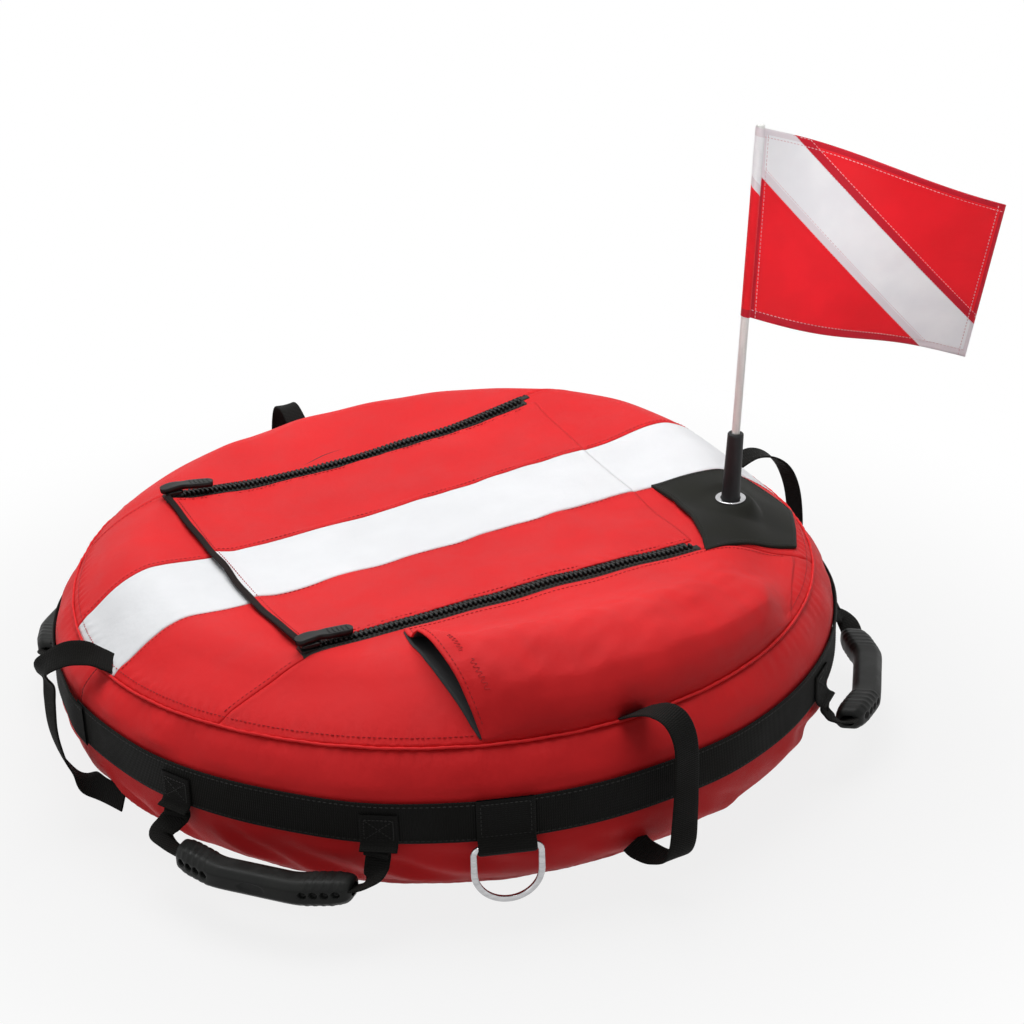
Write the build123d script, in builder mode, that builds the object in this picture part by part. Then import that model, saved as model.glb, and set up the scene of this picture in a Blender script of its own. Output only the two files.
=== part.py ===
# Freediving buoy: an inflated ring in a fabric cover, with a zipped lid over its
# gear well, a pocket, grips, hand loops, D-rings and a mast with a dive flag.
# Millimetres. The origin is the centre of the ring on the floor, +Z is up and
# +X runs along the white stripe towards the mast end.
import os
from math import asin, cos, degrees, radians, sin, sqrt

from build123d import *

os.makedirs("parts", exist_ok=True)

# Cover, measured on its outer face: each inset is counted from the radius before it
COVER_T = 2.0
BELT_R = 392.0
SEAM_IN = 22.0
SHOULDER_IN = 80.0
FOOT_IN = 40.0
FLOOR_IN = 42.0
BELT_LOW = 89.0
BELT_W = 41.0
SEAM_UP = 40.0
CROWN_UP = 50.0
FOOT_Z = 22.0
WELL_R = 181.0
WELL_FLARE = 54.0
PIPING_R = 4.0

# Webbing
WEB_T = 2.2
LOOP_W = 25.0
LOOP_OUT = 38.0
LOOP_CREST = 16.0
LOOP_LOW_Z = 34.0
LOOP_BEND = 18.0
LOOP_ANGLES = {"left": 180, "near": -87, "right": 1, "far": 91}

# Lid, its zips and the white stripe
LID_X0 = -228.0
LID_X1 = 200.0
ZIP_Y = 188.0
STRIPE_W = 112.0
LID_T = 2.0
LID_LIFT = 1.8
LID_LAP = 12.0
BINDING_W = 9.0
BINDING_T = 5.0
TAPE_W = 11.0
TAPE_IN = 1.5
TAPE_T = 1.2
TOOTH_PITCH = 7.0
TOOTH_L = 2.6
TOOTH_W = 5.5
TOOTH_H = 3.4
TOOTH_BITE = 1.5
ZIP_END = 22.0

# Pocket on the near segment
POCKET_X = -124.0
POCKET_RISE = 13.0
POCKET_OUT = 30.0
POCKET_T = 2.0
POCKET_HEM = 8.0

# Mast and flag
MAST_X = 262.0
MAST_Y = -126.0
MAST_LEAN = 3.3
MAST_TOWARDS = -22.0
POLE_R = 4.0
POLE_FIT = 0.08
SOCKET_R = 9.3
SOCKET_LIP_R = 10.8
SOCKET_H = 75.0
EYELET_R = 15.2
EYELET_T = 2.4
POLE_BARE = 118.0
FLAG_H = 184.0
FLAG_L = 250.0
FLAG_T = 1.6
FLAG_TOWARDS = -18.0
FLAG_DROOP = 15.0
FLAG_WAVE = 12.0
PATCH_T = 3.0

# Grips and D-rings
GRIP_ANGLES = {"near_left": -138, "near_right": -36, "far_left": 138, "far_right": 36}
GRIP_SPAN = 99.0
GRIP_L = 172.0
GRIP_W = 27.0
GRIP_H = 23.0
GRIP_OUT = 39.0
GRIP_DOWN = 25.0
GRIP_BACK = 17.0
GRIP_FLAT = 76.0
GRIP_TILT = 46.0
GRIP_BEVEL = 4.0
NOTCH_R = 2.6
NOTCH_STEP = 9.0
NOTCH_DEEP = 5.0
TAB_W = 34.0
TAB_EAR = 4.5
GRIP_WEB_W = 24.0
TAB_ROLL_R = 4.0
GRIP_FIT = 0.3
RING_ANGLES = {"near": -107.5, "far": 72.5}
RING_W = 60.0
RING_H = 54.0
RING_WIRE_R = 3.0
RING_BEND = 6.0
RING_TAB_W = 46.0
RING_FIT = 0.3

# Worked out from the sizes above
BELT_TOP = BELT_LOW + BELT_W
SEAM_R = BELT_R - SEAM_IN
SEAM_Z = BELT_TOP + SEAM_UP
FLAT_R = SEAM_R - SHOULDER_IN
TOP_Z = SEAM_Z + CROWN_UP
FOOT_R = BELT_R - FOOT_IN
FLOOR_R = FOOT_R - FLOOR_IN
WELL_RIM_R = WELL_R + WELL_FLARE


def round_radius(across, rise):
    """Radius of an arc that starts square to one side and ends across and rise away."""
    return (across ** 2 + rise ** 2) / (2 * rise)


SHOULDER_R = round_radius(SEAM_R - FLAT_R, TOP_Z - SEAM_Z)
SHOULDER_C = (FLAT_R, TOP_Z - SHOULDER_R)
SHOULDER_A = degrees(asin((SEAM_Z - SHOULDER_C[1]) / SHOULDER_R))
SIDE_R = round_radius(SEAM_Z - BELT_TOP, BELT_R - SEAM_R)
SIDE_C = (BELT_R - SIDE_R, BELT_TOP)
SIDE_A = degrees(asin((SEAM_Z - BELT_TOP) / SIDE_R))
LOWER_R = round_radius(BELT_LOW - FOOT_Z, BELT_R - FOOT_R)
LOWER_C = (BELT_R - LOWER_R, BELT_LOW)
LOWER_A = degrees(asin((BELT_LOW - FOOT_Z) / LOWER_R))
TOE_R = round_radius(FOOT_R - FLOOR_R, FOOT_Z)
TOE_C = (FLOOR_R, TOE_R)
TOE_A = degrees(asin((TOE_R - FOOT_Z) / TOE_R))
MID_Z = TOP_Z / 2
RIM_RISE = TOP_Z - COVER_T - MID_Z
WELL_ARC_R = round_radius(RIM_RISE, WELL_RIM_R - WELL_R)
WELL_ARC_C = (WELL_R + WELL_ARC_R, MID_Z)
WELL_ARC_A = degrees(asin(RIM_RISE / WELL_ARC_R))


def on_arc(centre, radius, angle):
    return (centre[0] + radius * cos(radians(angle)), centre[1] + radius * sin(radians(angle)))


def polar(radius, angle, z=0.0):
    return (radius * cos(radians(angle)), radius * sin(radians(angle)), z)


def upright(angle):
    """Plane through the axis: x runs outward at this angle and y runs up."""
    a = radians(angle)
    return Plane(origin=(0, 0, 0), x_dir=(cos(a), sin(a), 0), z_dir=(sin(a), -cos(a), 0))


def save(builder, name):
    builder.part.label = name
    export_step(builder.part, f"parts/{name}.step")


def dome_section(low, high, stop=0.0):
    """Half section of the top cover between two offsets, ending these degrees above the seam."""
    end = SHOULDER_A + stop
    Line((0, TOP_Z + low), (FLAT_R, TOP_Z + low))
    CenterArc(SHOULDER_C, SHOULDER_R + low, end, 90 - end)
    Line(on_arc(SHOULDER_C, SHOULDER_R + low, end), on_arc(SHOULDER_C, SHOULDER_R + high, end))
    CenterArc(SHOULDER_C, SHOULDER_R + high, end, 90 - end)
    Line((FLAT_R, TOP_Z + high), (0, TOP_Z + high))
    Line((0, TOP_Z + high), (0, TOP_Z + low))


def side_line(gap):
    """The cover's side from the seam to the floor, moved outward by the gap."""
    CenterArc(SIDE_C, SIDE_R + gap, 0, SIDE_A)
    Line((BELT_R + gap, BELT_TOP), (BELT_R + gap, BELT_LOW))
    CenterArc(LOWER_C, LOWER_R + gap, 0, -LOWER_A)
    if gap:
        Line(on_arc(LOWER_C, LOWER_R + gap, -LOWER_A), on_arc(TOE_C, TOE_R + gap, -TOE_A))
    CenterArc(TOE_C, TOE_R + gap, -TOE_A, TOE_A - 90)


# Inner tube: fills the cover around the well
with BuildPart() as inner_tube:
    with BuildSketch(Plane.XZ):
        with BuildLine():
            side_line(-COVER_T)
            Line((FLOOR_R, COVER_T), (WELL_RIM_R, COVER_T))
            CenterArc(WELL_ARC_C, WELL_ARC_R, 180 - WELL_ARC_A, 2 * WELL_ARC_A)
            Line((WELL_RIM_R, TOP_Z - COVER_T), (FLAT_R, TOP_Z - COVER_T))
            CenterArc(SHOULDER_C, SHOULDER_R - COVER_T, SHOULDER_A, 90 - SHOULDER_A)
            Line(on_arc(SHOULDER_C, SHOULDER_R - COVER_T, SHOULDER_A), on_arc(SIDE_C, SIDE_R - COVER_T, SIDE_A))
        make_face()
    revolve(axis=Axis.Z)
save(inner_tube, "inner_tube")

# Side panel: the outer wall from the top seam down to the floor seam
with BuildPart() as side_panel:
    with BuildSketch(Plane.XZ):
        with BuildLine():
            side_line(0)
            Line((FLOOR_R, 0), (FLOOR_R, COVER_T))
            side_line(-COVER_T)
            Line(on_arc(SIDE_C, SIDE_R - COVER_T, SIDE_A), on_arc(SIDE_C, SIDE_R, SIDE_A))
        make_face()
    revolve(axis=Axis.Z)
save(side_panel, "side_panel")

# Bottom panel: a flat disc sewn to the side panel
with BuildPart() as bottom_panel:
    with BuildSketch(Plane.XY):
        Circle(FLOOR_R)
    extrude(amount=COVER_T)
save(bottom_panel, "bottom_panel")

# Well lining: follows the tube's crown, then hangs straight to the bottom panel
with BuildPart() as well_lining:
    with BuildSketch(Plane.XZ):
        with BuildLine():
            CenterArc(WELL_ARC_C, WELL_ARC_R, 180 - WELL_ARC_A, WELL_ARC_A)
            Line((WELL_R, MID_Z), (WELL_R, COVER_T))
            Line((WELL_R, COVER_T), (WELL_R - COVER_T, COVER_T))
            Line((WELL_R - COVER_T, COVER_T), (WELL_R - COVER_T, MID_Z))
            CenterArc(WELL_ARC_C, WELL_ARC_R + COVER_T, 180 - WELL_ARC_A, WELL_ARC_A)
            Line(
                on_arc(WELL_ARC_C, WELL_ARC_R + COVER_T, 180 - WELL_ARC_A),
                on_arc(WELL_ARC_C, WELL_ARC_R, 180 - WELL_ARC_A),
            )
        make_face()
    revolve(axis=Axis.Z)
    with BuildSketch(Plane.XY.offset(TOP_Z - COVER_T)):
        Circle(WELL_RIM_R + COVER_T)
    extrude(amount=2 * COVER_T, mode=Mode.SUBTRACT)
save(well_lining, "well_lining")

# Top panels, cut from one dome: name, lowest x, highest x, lowest y, highest y
EDGE = BELT_R + 10
ZIP_GAP = TOOTH_W + 1.5
PANEL_Y = ZIP_Y + ZIP_GAP
TOP_PANELS = [
    ("top_far", -EDGE, EDGE, PANEL_Y, EDGE),
    ("top_near", -EDGE, EDGE, -EDGE, -PANEL_Y),
    ("top_left_far", -EDGE, LID_X0 + LID_LAP, STRIPE_W / 2, PANEL_Y),
    ("top_left_near", -EDGE, LID_X0 + LID_LAP, -PANEL_Y, -STRIPE_W / 2),
    ("stripe_left", -EDGE, LID_X0 + LID_LAP, -STRIPE_W / 2, STRIPE_W / 2),
    ("top_right_far", LID_X1 - LID_LAP, EDGE, STRIPE_W / 2, PANEL_Y),
    ("top_right_near", LID_X1 - LID_LAP, EDGE, -PANEL_Y, -STRIPE_W / 2),
    ("stripe_right", LID_X1 - LID_LAP, EDGE, -STRIPE_W / 2, STRIPE_W / 2),
]
for name, x0, x1, y0, y1 in TOP_PANELS:
    with BuildPart() as top_panel:
        with BuildSketch(Plane.XZ):
            with BuildLine():
                dome_section(-COVER_T, 0)
            make_face()
        revolve(axis=Axis.Z)
        with BuildSketch(Plane.XY):
            with Locations(((x0 + x1) / 2, (y0 + y1) / 2)):
                Rectangle(x1 - x0, y1 - y0)
        extrude(amount=TOP_Z + COVER_T, mode=Mode.INTERSECT)
    save(top_panel, name)

# Piping in the groove of the top seam
GROOVE_A = (SIDE_A + SHOULDER_A) / 2
PIPING_C = on_arc((SEAM_R, SEAM_Z), PIPING_R / cos(radians((SIDE_A - SHOULDER_A) / 2)) + 0.05, GROOVE_A)
with BuildPart() as piping:
    with BuildSketch(Plane.XZ):
        with Locations(PIPING_C):
            Circle(PIPING_R)
    revolve(axis=Axis.Z)
save(piping, "piping")

# Belt webbing around the side
with BuildPart() as belt:
    with BuildSketch(Plane.XY.offset(BELT_LOW)):
        Circle(BELT_R + WEB_T)
        Circle(BELT_R, mode=Mode.SUBTRACT)
    extrude(amount=BELT_W)
save(belt, "belt")

# Hand loops of webbing: from the top seam, clear of the belt, to the foot
LOOP_TOP = (PIPING_C[0] + PIPING_R + WEB_T, SEAM_Z)
LOOP_BOTTOM = (FOOT_R + WEB_T, FOOT_Z)
LOOP_OVER = (BELT_R + 8, SEAM_Z + LOOP_CREST)
LOOP_HIGH = (BELT_R + LOOP_OUT, BELT_TOP + 16)
LOOP_LOW = (BELT_R + LOOP_OUT - 4, LOOP_LOW_Z)
for side, angle in LOOP_ANGLES.items():
    with BuildPart() as loop:
        with BuildSketch(upright(angle)):
            with BuildLine():
                FilletPolyline(LOOP_TOP, LOOP_OVER, LOOP_HIGH, LOOP_LOW, LOOP_BOTTOM, radius=LOOP_BEND)
            trace(line_width=WEB_T)
        extrude(amount=LOOP_W / 2, both=True)
    save(loop, f"loop_{side}")

# Lid: red panels with the white stripe between them, and a bound free edge
LID_LOW = TOP_Z + LID_LIFT
LID_Y = ZIP_Y - ZIP_GAP
LID_PANELS = [
    ("lid_far", STRIPE_W / 2, LID_Y),
    ("lid_stripe", -STRIPE_W / 2, STRIPE_W / 2),
    ("lid_near", -LID_Y, -STRIPE_W / 2),
]
for name, y0, y1 in LID_PANELS:
    with BuildPart() as lid_panel:
        with BuildSketch(Plane.XZ.offset(-y1)):
            with Locations(((LID_X0 + BINDING_W + LID_X1) / 2, LID_LOW + LID_T / 2)):
                Rectangle(LID_X1 - LID_X0 - BINDING_W, LID_T)
            with Locations((LID_X1, LID_LOW + LID_T / 2)):
                Circle(LID_T / 2)
        extrude(amount=y1 - y0)
    save(lid_panel, name)

with BuildPart() as lid_binding:
    with BuildSketch(Plane.XZ.offset(-LID_Y)):
        with Locations((LID_X0 + BINDING_W / 2, TOP_Z + 0.3 + BINDING_T / 2)):
            SlotOverall(BINDING_W, BINDING_T)
    extrude(amount=2 * LID_Y)
save(lid_binding, "lid_binding")

# Hinge seam: the strip that the lid's sewn end lies on
with BuildPart() as lid_seam:
    with BuildSketch(Plane.XY.offset(TOP_Z)):
        with Locations((LID_X1 - LID_LAP / 2, 0)):
            Rectangle(LID_LAP, 2 * LID_Y)
    extrude(amount=LID_LIFT - 0.3)
save(lid_seam, "lid_seam")

# Zips: a tape with a row of teeth on each side of the chain, interleaved
ZIP_X0 = LID_X0 + BINDING_W + 16
ZIP_X1 = LID_X1 - ZIP_END
TOOTH_COUNT = int((ZIP_X1 - ZIP_X0) / TOOTH_PITCH)
TEETH_LOW = TOP_Z - 1.0
ZIP_TAPES = [
    ("zip_far_fixed", 1, 1),
    ("zip_far_lid", 1, -1),
    ("zip_near_fixed", -1, -1),
    ("zip_near_lid", -1, 1),
]
for name, side, away in ZIP_TAPES:
    on_lid = side != away
    tape_low = TOP_Z + 0.3 if on_lid else TOP_Z
    shift = TOOTH_PITCH / 2 if on_lid else 0
    tape_x1 = ZIP_X1 if on_lid else LID_X1
    with BuildPart() as zip_half:
        with BuildSketch(Plane.XY.offset(tape_low)):
            with Locations(((ZIP_X0 + tape_x1) / 2, side * ZIP_Y + away * (TAPE_IN + TAPE_W / 2))):
                Rectangle(tape_x1 - ZIP_X0, TAPE_W)
        extrude(amount=TAPE_T)
        with BuildSketch(Plane.XY.offset(TEETH_LOW)):
            with Locations((ZIP_X0 + shift + TOOTH_PITCH * TOOTH_COUNT / 2, side * ZIP_Y + away * (TOOTH_W / 2 - TOOTH_BITE))):
                with GridLocations(TOOTH_PITCH, 1, TOOTH_COUNT, 1):
                    Rectangle(TOOTH_L, TOOTH_W)
        extrude(amount=TOOTH_H)
    save(zip_half, name)

# Sliders at the closed end, carried by the lid's half of each zip
SLIDER_L = 20.0
SLIDER_W = 13.0
SLIDER_H = 6.5
PULL_L = 54.0
PULL_W = 11.0
PULL_T = 3.0
for side, sign in (("far", 1), ("near", -1)):
    with BuildPart() as slider:
        with BuildSketch(Plane.XY.offset(TOP_Z + 0.3)):
            with Locations((ZIP_X0 - SLIDER_L / 2 - 1, sign * ZIP_Y)):
                Trapezoid(SLIDER_W, SLIDER_L, 80, rotation=-90)
        extrude(amount=SLIDER_H)
        with BuildSketch(Plane.XY.offset(TOP_Z + 0.3 + SLIDER_H)):
            with Locations((ZIP_X0 - 1 - SLIDER_L / 2 + PULL_L / 2, sign * ZIP_Y)):
                SlotOverall(PULL_L, PULL_W)
            with Locations((ZIP_X0 - 1 - SLIDER_L / 2 + PULL_L - PULL_W / 2, sign * ZIP_Y)):
                Circle(PULL_W / 4, mode=Mode.SUBTRACT)
        extrude(amount=PULL_T)
    save(slider, f"slider_{side}")

# Pocket: a second layer over the near segment, open at its left edge
POCKET_Y = -(ZIP_Y + TAPE_IN + TAPE_W + 1)
POCKET_STOP = degrees((2 * PIPING_R + 1) / SHOULDER_R)
POCKET_LOW = 0.2


def pocket_footprint(x0, hem):
    with Locations(((x0 + EDGE) / 2, POCKET_Y - hem - EDGE / 2)):
        Rectangle(EDGE - x0, EDGE)


def pocket_section(wall):
    """Half section of the pocket, its faces moved inward by the wall."""
    low = POCKET_LOW + wall
    end = SHOULDER_A + POCKET_STOP + degrees(wall / SHOULDER_R)
    flat_r = FLAT_R + POCKET_OUT
    lip = on_arc(SHOULDER_C, SHOULDER_R + low, end)
    crest = TOP_Z + POCKET_RISE - wall
    radius = round_radius(lip[0] - flat_r, crest - lip[1])
    Line((0, TOP_Z + low), (FLAT_R, TOP_Z + low))
    CenterArc(SHOULDER_C, SHOULDER_R + low, end, 90 - end)
    bend = degrees(asin((lip[1] - crest + radius) / radius))
    CenterArc((flat_r, crest - radius), radius, bend, 90 - bend)
    Line((flat_r, crest), (0, crest))
    Line((0, crest), (0, TOP_Z + low))


with BuildPart() as pocket_space:
    with BuildSketch(Plane.XZ):
        with BuildLine():
            pocket_section(POCKET_T)
        make_face()
    revolve(axis=Axis.Z)
    with BuildSketch(Plane.XY):
        pocket_footprint(POCKET_X - 1, POCKET_HEM)
    extrude(amount=TOP_Z + POCKET_RISE, mode=Mode.INTERSECT)

with BuildPart() as pocket:
    with BuildSketch(Plane.XZ):
        with BuildLine():
            pocket_section(0)
        make_face()
    revolve(axis=Axis.Z)
    with BuildSketch(Plane.XY):
        pocket_footprint(POCKET_X, 0)
    extrude(amount=TOP_Z + POCKET_RISE, mode=Mode.INTERSECT)
    add(pocket_space.part, mode=Mode.SUBTRACT)
save(pocket, "pocket")

# Mast: neoprene patch, eyelet and rubber socket on the right of the lid
PATCH_X0 = LID_X1 + 12
PATCH_OUTLINE = [
    (PATCH_X0, MAST_Y + 74),
    (MAST_X + 22, MAST_Y + 62),
    (MAST_X + 46, MAST_Y + 56),
    (MAST_X + 76, MAST_Y - 2),
    (MAST_X + 42, MAST_Y - 58),
    (MAST_X + 34, POCKET_Y + 2),
    (PATCH_X0 - 6, POCKET_Y + 2),
]
with BuildPart() as patch:
    with BuildSketch(Plane.XZ):
        with BuildLine():
            dome_section(POCKET_LOW, POCKET_LOW + PATCH_T, POCKET_STOP)
        make_face()
    revolve(axis=Axis.Z)
    with BuildSketch(Plane.XY):
        with BuildLine():
            Polyline(*PATCH_OUTLINE, close=True)
        make_face()
        with Locations((MAST_X, MAST_Y)):
            Circle(EYELET_R - 5, mode=Mode.SUBTRACT)
    extrude(amount=TOP_Z + 2 * PATCH_T, mode=Mode.INTERSECT)
save(patch, "mast_patch")

LEAN = radians(MAST_LEAN)
MAST_DIR = (
    sin(LEAN) * cos(radians(MAST_TOWARDS)),
    sin(LEAN) * sin(radians(MAST_TOWARDS)),
    cos(LEAN),
)
MAST_FOOT = (MAST_X, MAST_Y, TOP_Z + POCKET_LOW + PATCH_T)


def mast_plane(along):
    """Plane square to the mast at this distance up its axis, x towards the flag's fly."""
    origin = [foot + along * step for foot, step in zip(MAST_FOOT, MAST_DIR)]
    return Plane(origin=tuple(origin), x_dir=FLY_DIR, z_dir=MAST_DIR)


FLY_A = radians(FLAG_TOWARDS)
FLY_RISE = -(MAST_DIR[0] * cos(FLY_A) + MAST_DIR[1] * sin(FLY_A)) / MAST_DIR[2]
FLY_DIR = (cos(FLY_A), sin(FLY_A), FLY_RISE)

with BuildPart() as eyelet:
    with BuildSketch(Plane.XY.offset(MAST_FOOT[2])):
        with Locations((MAST_X, MAST_Y)):
            Circle(EYELET_R)
            Circle(SOCKET_R + 0.3, mode=Mode.SUBTRACT)
    extrude(amount=EYELET_T)
    fillet(eyelet.faces().sort_by(Axis.Z)[-1].edges(), radius=1.0)
save(eyelet, "mast_eyelet")

SOCKET_FLOOR = 4.0
with BuildPart() as socket:
    with BuildSketch(mast_plane(0)):
        Circle(SOCKET_R - 0.4)
    extrude(amount=SOCKET_H)
    with BuildSketch(mast_plane(SOCKET_H - 8)):
        Circle(SOCKET_LIP_R)
    extrude(amount=8)
    fillet(socket.faces().sort_by(Axis.Z)[-1].edges(), radius=2.5)
    with BuildSketch(mast_plane(SOCKET_FLOOR)):
        Circle(POLE_R + POLE_FIT)
    extrude(amount=SOCKET_H, mode=Mode.SUBTRACT)
save(socket, "mast_socket")

POLE_L = SOCKET_H - SOCKET_FLOOR + POLE_BARE + FLAG_H + 3
with BuildPart() as pole:
    with BuildSketch(mast_plane(SOCKET_FLOOR + 0.1)):
        Circle(POLE_R)
    extrude(amount=POLE_L)
    fillet(pole.faces().sort_by(Axis.Z)[-1].edges(), radius=1.5)
save(pole, "mast_pole")

# Flag: a sleeve on the pole and a sheet with one slow wave, which droops towards its fly
SLEEVE_R = POLE_R + 0.3 + FLAG_T
FLAG_FOOT = mast_plane(SOCKET_H + POLE_BARE)
DROOP_DIR = FLAG_FOOT.x_dir.rotate(Axis((0, 0, 0), FLAG_FOOT.y_dir), FLAG_DROOP)
DROOP_UP = FLAG_FOOT.z_dir.rotate(Axis((0, 0, 0), FLAG_FOOT.y_dir), FLAG_DROOP)
with BuildPart() as flag:
    with BuildSketch(FLAG_FOOT):
        Circle(SLEEVE_R)
        Circle(SLEEVE_R - FLAG_T, mode=Mode.SUBTRACT)
    extrude(amount=FLAG_H)
    with BuildSketch(Plane(origin=FLAG_FOOT.origin, x_dir=DROOP_DIR, z_dir=DROOP_UP)):
        with BuildLine():
            ThreePointArc((SLEEVE_R, 0), (FLAG_L / 4, FLAG_WAVE), (FLAG_L / 2, 0))
            ThreePointArc((FLAG_L / 2, 0), (3 * FLAG_L / 4, -FLAG_WAVE), (FLAG_L, 0))
        trace(line_width=FLAG_T)
    extrude(amount=FLAG_H, dir=MAST_DIR)
save(flag, "flag")

# Grips: a moulded handle on webbing, hung from two tabs on the belt
TAB_Z = BELT_LOW - 7
SLEEVE_OUT_R = TAB_ROLL_R + GRIP_FIT + WEB_T
BELT_OUT_R = BELT_R + WEB_T
AXIS_OUT = sqrt(BELT_OUT_R ** 2 - GRIP_SPAN ** 2) + SLEEVE_OUT_R + 1
TAB_SWING = degrees(asin(GRIP_SPAN / BELT_OUT_R))


def hang_plane(angle):
    """The grip's own plane on its hinge axis: x along the axis, y down and outward."""
    a = radians(angle)
    tilt = radians(GRIP_TILT)
    down = (cos(a) * cos(tilt), sin(a) * cos(tilt), -sin(tilt))
    along = (-sin(a), cos(a), 0)
    normal = Vector(*along).cross(Vector(*down))
    return Plane(origin=polar(AXIS_OUT, angle, TAB_Z), x_dir=along, z_dir=normal)


def axis_plane(angle, shift):
    """Plane square to the hinge axis, x outward and y up, moved along the axis."""
    a = radians(angle)
    foot = polar(AXIS_OUT, angle, TAB_Z)
    origin = (foot[0] - shift * sin(a), foot[1] + shift * cos(a), foot[2])
    return Plane(origin=origin, x_dir=(cos(a), sin(a), 0), z_dir=(sin(a), -cos(a), 0))


GRIP_NOSE = 4.0
WEB_REACH = sqrt((GRIP_OUT - GRIP_BACK) ** 2 + GRIP_DOWN ** 2)
END_SLOPE = degrees(asin(GRIP_BACK / sqrt((GRIP_L / 2 - GRIP_FLAT / 2) ** 2 + GRIP_BACK ** 2)))


def grip_plane(angle):
    """Level plane through the grip's middle: x along the hinge axis, y outward."""
    a = radians(angle)
    middle = polar(AXIS_OUT + GRIP_OUT, angle, TAB_Z - GRIP_DOWN)
    return Plane(origin=middle, x_dir=(sin(a), -cos(a), 0), z_dir=(0, 0, 1))


def notch_plane(angle, turn):
    """Plane on the grip's outer face, at its middle or on the end segment at that turn."""
    a = radians(angle)
    swing = radians(angle - turn * END_SLOPE)
    out = GRIP_W / 2 - abs(turn) * GRIP_BACK / 2
    along = turn * (GRIP_L + GRIP_FLAT) / 4
    middle = polar(AXIS_OUT + GRIP_OUT + out, angle, TAB_Z - GRIP_DOWN)
    origin = (middle[0] + along * sin(a), middle[1] - along * cos(a), middle[2])
    face = (cos(swing), sin(swing), 0)
    return Plane(origin=origin, x_dir=(sin(swing), -cos(swing), 0), z_dir=face)


for place, angle in GRIP_ANGLES.items():
    with BuildPart() as tabs:
        for turn in (-1, 1):
            with BuildSketch(axis_plane(angle, turn * GRIP_SPAN)):
                Circle(TAB_ROLL_R)
            extrude(amount=TAB_W / 2, both=True)
            for edge in (-1, 1):
                with BuildSketch(axis_plane(angle, turn * GRIP_SPAN + edge * (TAB_W - TAB_EAR) / 2)):
                    with BuildLine():
                        Polyline((TAB_ROLL_R, 0), (-2, 14), (-20, 14), (-20, 5), (-6, 0), close=True)
                    make_face()
                extrude(amount=TAB_EAR / 2, both=True)
        with BuildSketch(Plane.XY):
            Circle(BELT_OUT_R)
        extrude(amount=TOP_Z, mode=Mode.SUBTRACT)
        with BuildSketch(Plane.XY.offset(BELT_LOW + 0.2)):
            for turn in (-1, 1):
                with Locations(Location(polar(BELT_OUT_R, angle + turn * TAB_SWING), angle + turn * TAB_SWING)):
                    Rectangle(60, TAB_W)
            Circle(BELT_OUT_R + WEB_T, mode=Mode.INTERSECT)
            Circle(BELT_OUT_R, mode=Mode.SUBTRACT)
        extrude(amount=BELT_W - 0.4)
    save(tabs, f"grip_tabs_{place}")
    with BuildPart() as webs:
        for turn in (-1, 1):
            with BuildSketch(hang_plane(angle)):
                with BuildLine():
                    Polyline(
                        (turn * (GRIP_SPAN + GRIP_WEB_W / 2), SLEEVE_OUT_R - 1),
                        (turn * (GRIP_SPAN - GRIP_WEB_W / 2), SLEEVE_OUT_R - 1),
                        (turn * (GRIP_SPAN - GRIP_WEB_W / 2 - 1), WEB_REACH - GRIP_W / 2 + 4),
                        (turn * (GRIP_L / 2 - 10), WEB_REACH - GRIP_W / 2 + 4),
                        (turn * (GRIP_L / 2 - 10), WEB_REACH + GRIP_W / 2 - 4),
                        (turn * (GRIP_SPAN + 1), WEB_REACH + GRIP_W / 2 - 4),
                        (turn * (GRIP_SPAN + GRIP_WEB_W / 2 + 2), WEB_REACH - 2),
                        close=True,
                    )
                make_face()
            extrude(amount=WEB_T / 2, both=True)
            with BuildSketch(axis_plane(angle, turn * GRIP_SPAN)):
                Circle(SLEEVE_OUT_R)
            extrude(amount=GRIP_WEB_W / 2, both=True)
            with BuildSketch(axis_plane(angle, turn * GRIP_SPAN)):
                Circle(TAB_ROLL_R + GRIP_FIT)
            extrude(amount=GRIP_WEB_W, both=True, mode=Mode.SUBTRACT)
    save(webs, f"grip_web_{place}")
    with BuildPart() as grip:
        with BuildSketch(grip_plane(angle)):
            with BuildLine():
                Polyline(
                    (-GRIP_L / 2, -GRIP_W / 2 - GRIP_BACK),
                    (-GRIP_FLAT / 2, -GRIP_W / 2),
                    (GRIP_FLAT / 2, -GRIP_W / 2),
                    (GRIP_L / 2, -GRIP_W / 2 - GRIP_BACK),
                    (GRIP_L / 2 + GRIP_NOSE, GRIP_W / 2 - GRIP_BACK),
                    (GRIP_FLAT / 2, GRIP_W / 2),
                    (-GRIP_FLAT / 2, GRIP_W / 2),
                    (-GRIP_L / 2 - GRIP_NOSE, GRIP_W / 2 - GRIP_BACK),
                    close=True,
                )
            make_face()
        extrude(amount=GRIP_H / 2, both=True)
        chamfer(grip.edges().filter_by(Plane.XY), length=GRIP_BEVEL)
        for turn in (-1, 1):
            with BuildSketch(notch_plane(angle, turn)):
                with GridLocations(NOTCH_STEP, 1, 4, 1):
                    Circle(NOTCH_R)
            extrude(amount=NOTCH_DEEP, both=True, mode=Mode.SUBTRACT)
        with BuildSketch(notch_plane(angle, 0)):
            SlotOverall(GRIP_FLAT / 3, GRIP_H / 3)
        extrude(amount=NOTCH_DEEP / 3, both=True, mode=Mode.SUBTRACT)
        add(webs.part, mode=Mode.SUBTRACT)
    save(grip, f"grip_{place}")

# D-rings: a wire D on a folded tab sewn to the belt
RING_OUT = BELT_R + WEB_T + RING_WIRE_R + RING_FIT + WEB_T + 0.3
RING_Z = BELT_LOW - 5


def ring_plane(angle):
    """The D-ring's plane: x along its bar and y up."""
    a = radians(angle)
    return Plane(origin=polar(RING_OUT, angle, RING_Z), x_dir=(-sin(a), cos(a), 0), z_dir=(cos(a), sin(a), 0))


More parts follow.
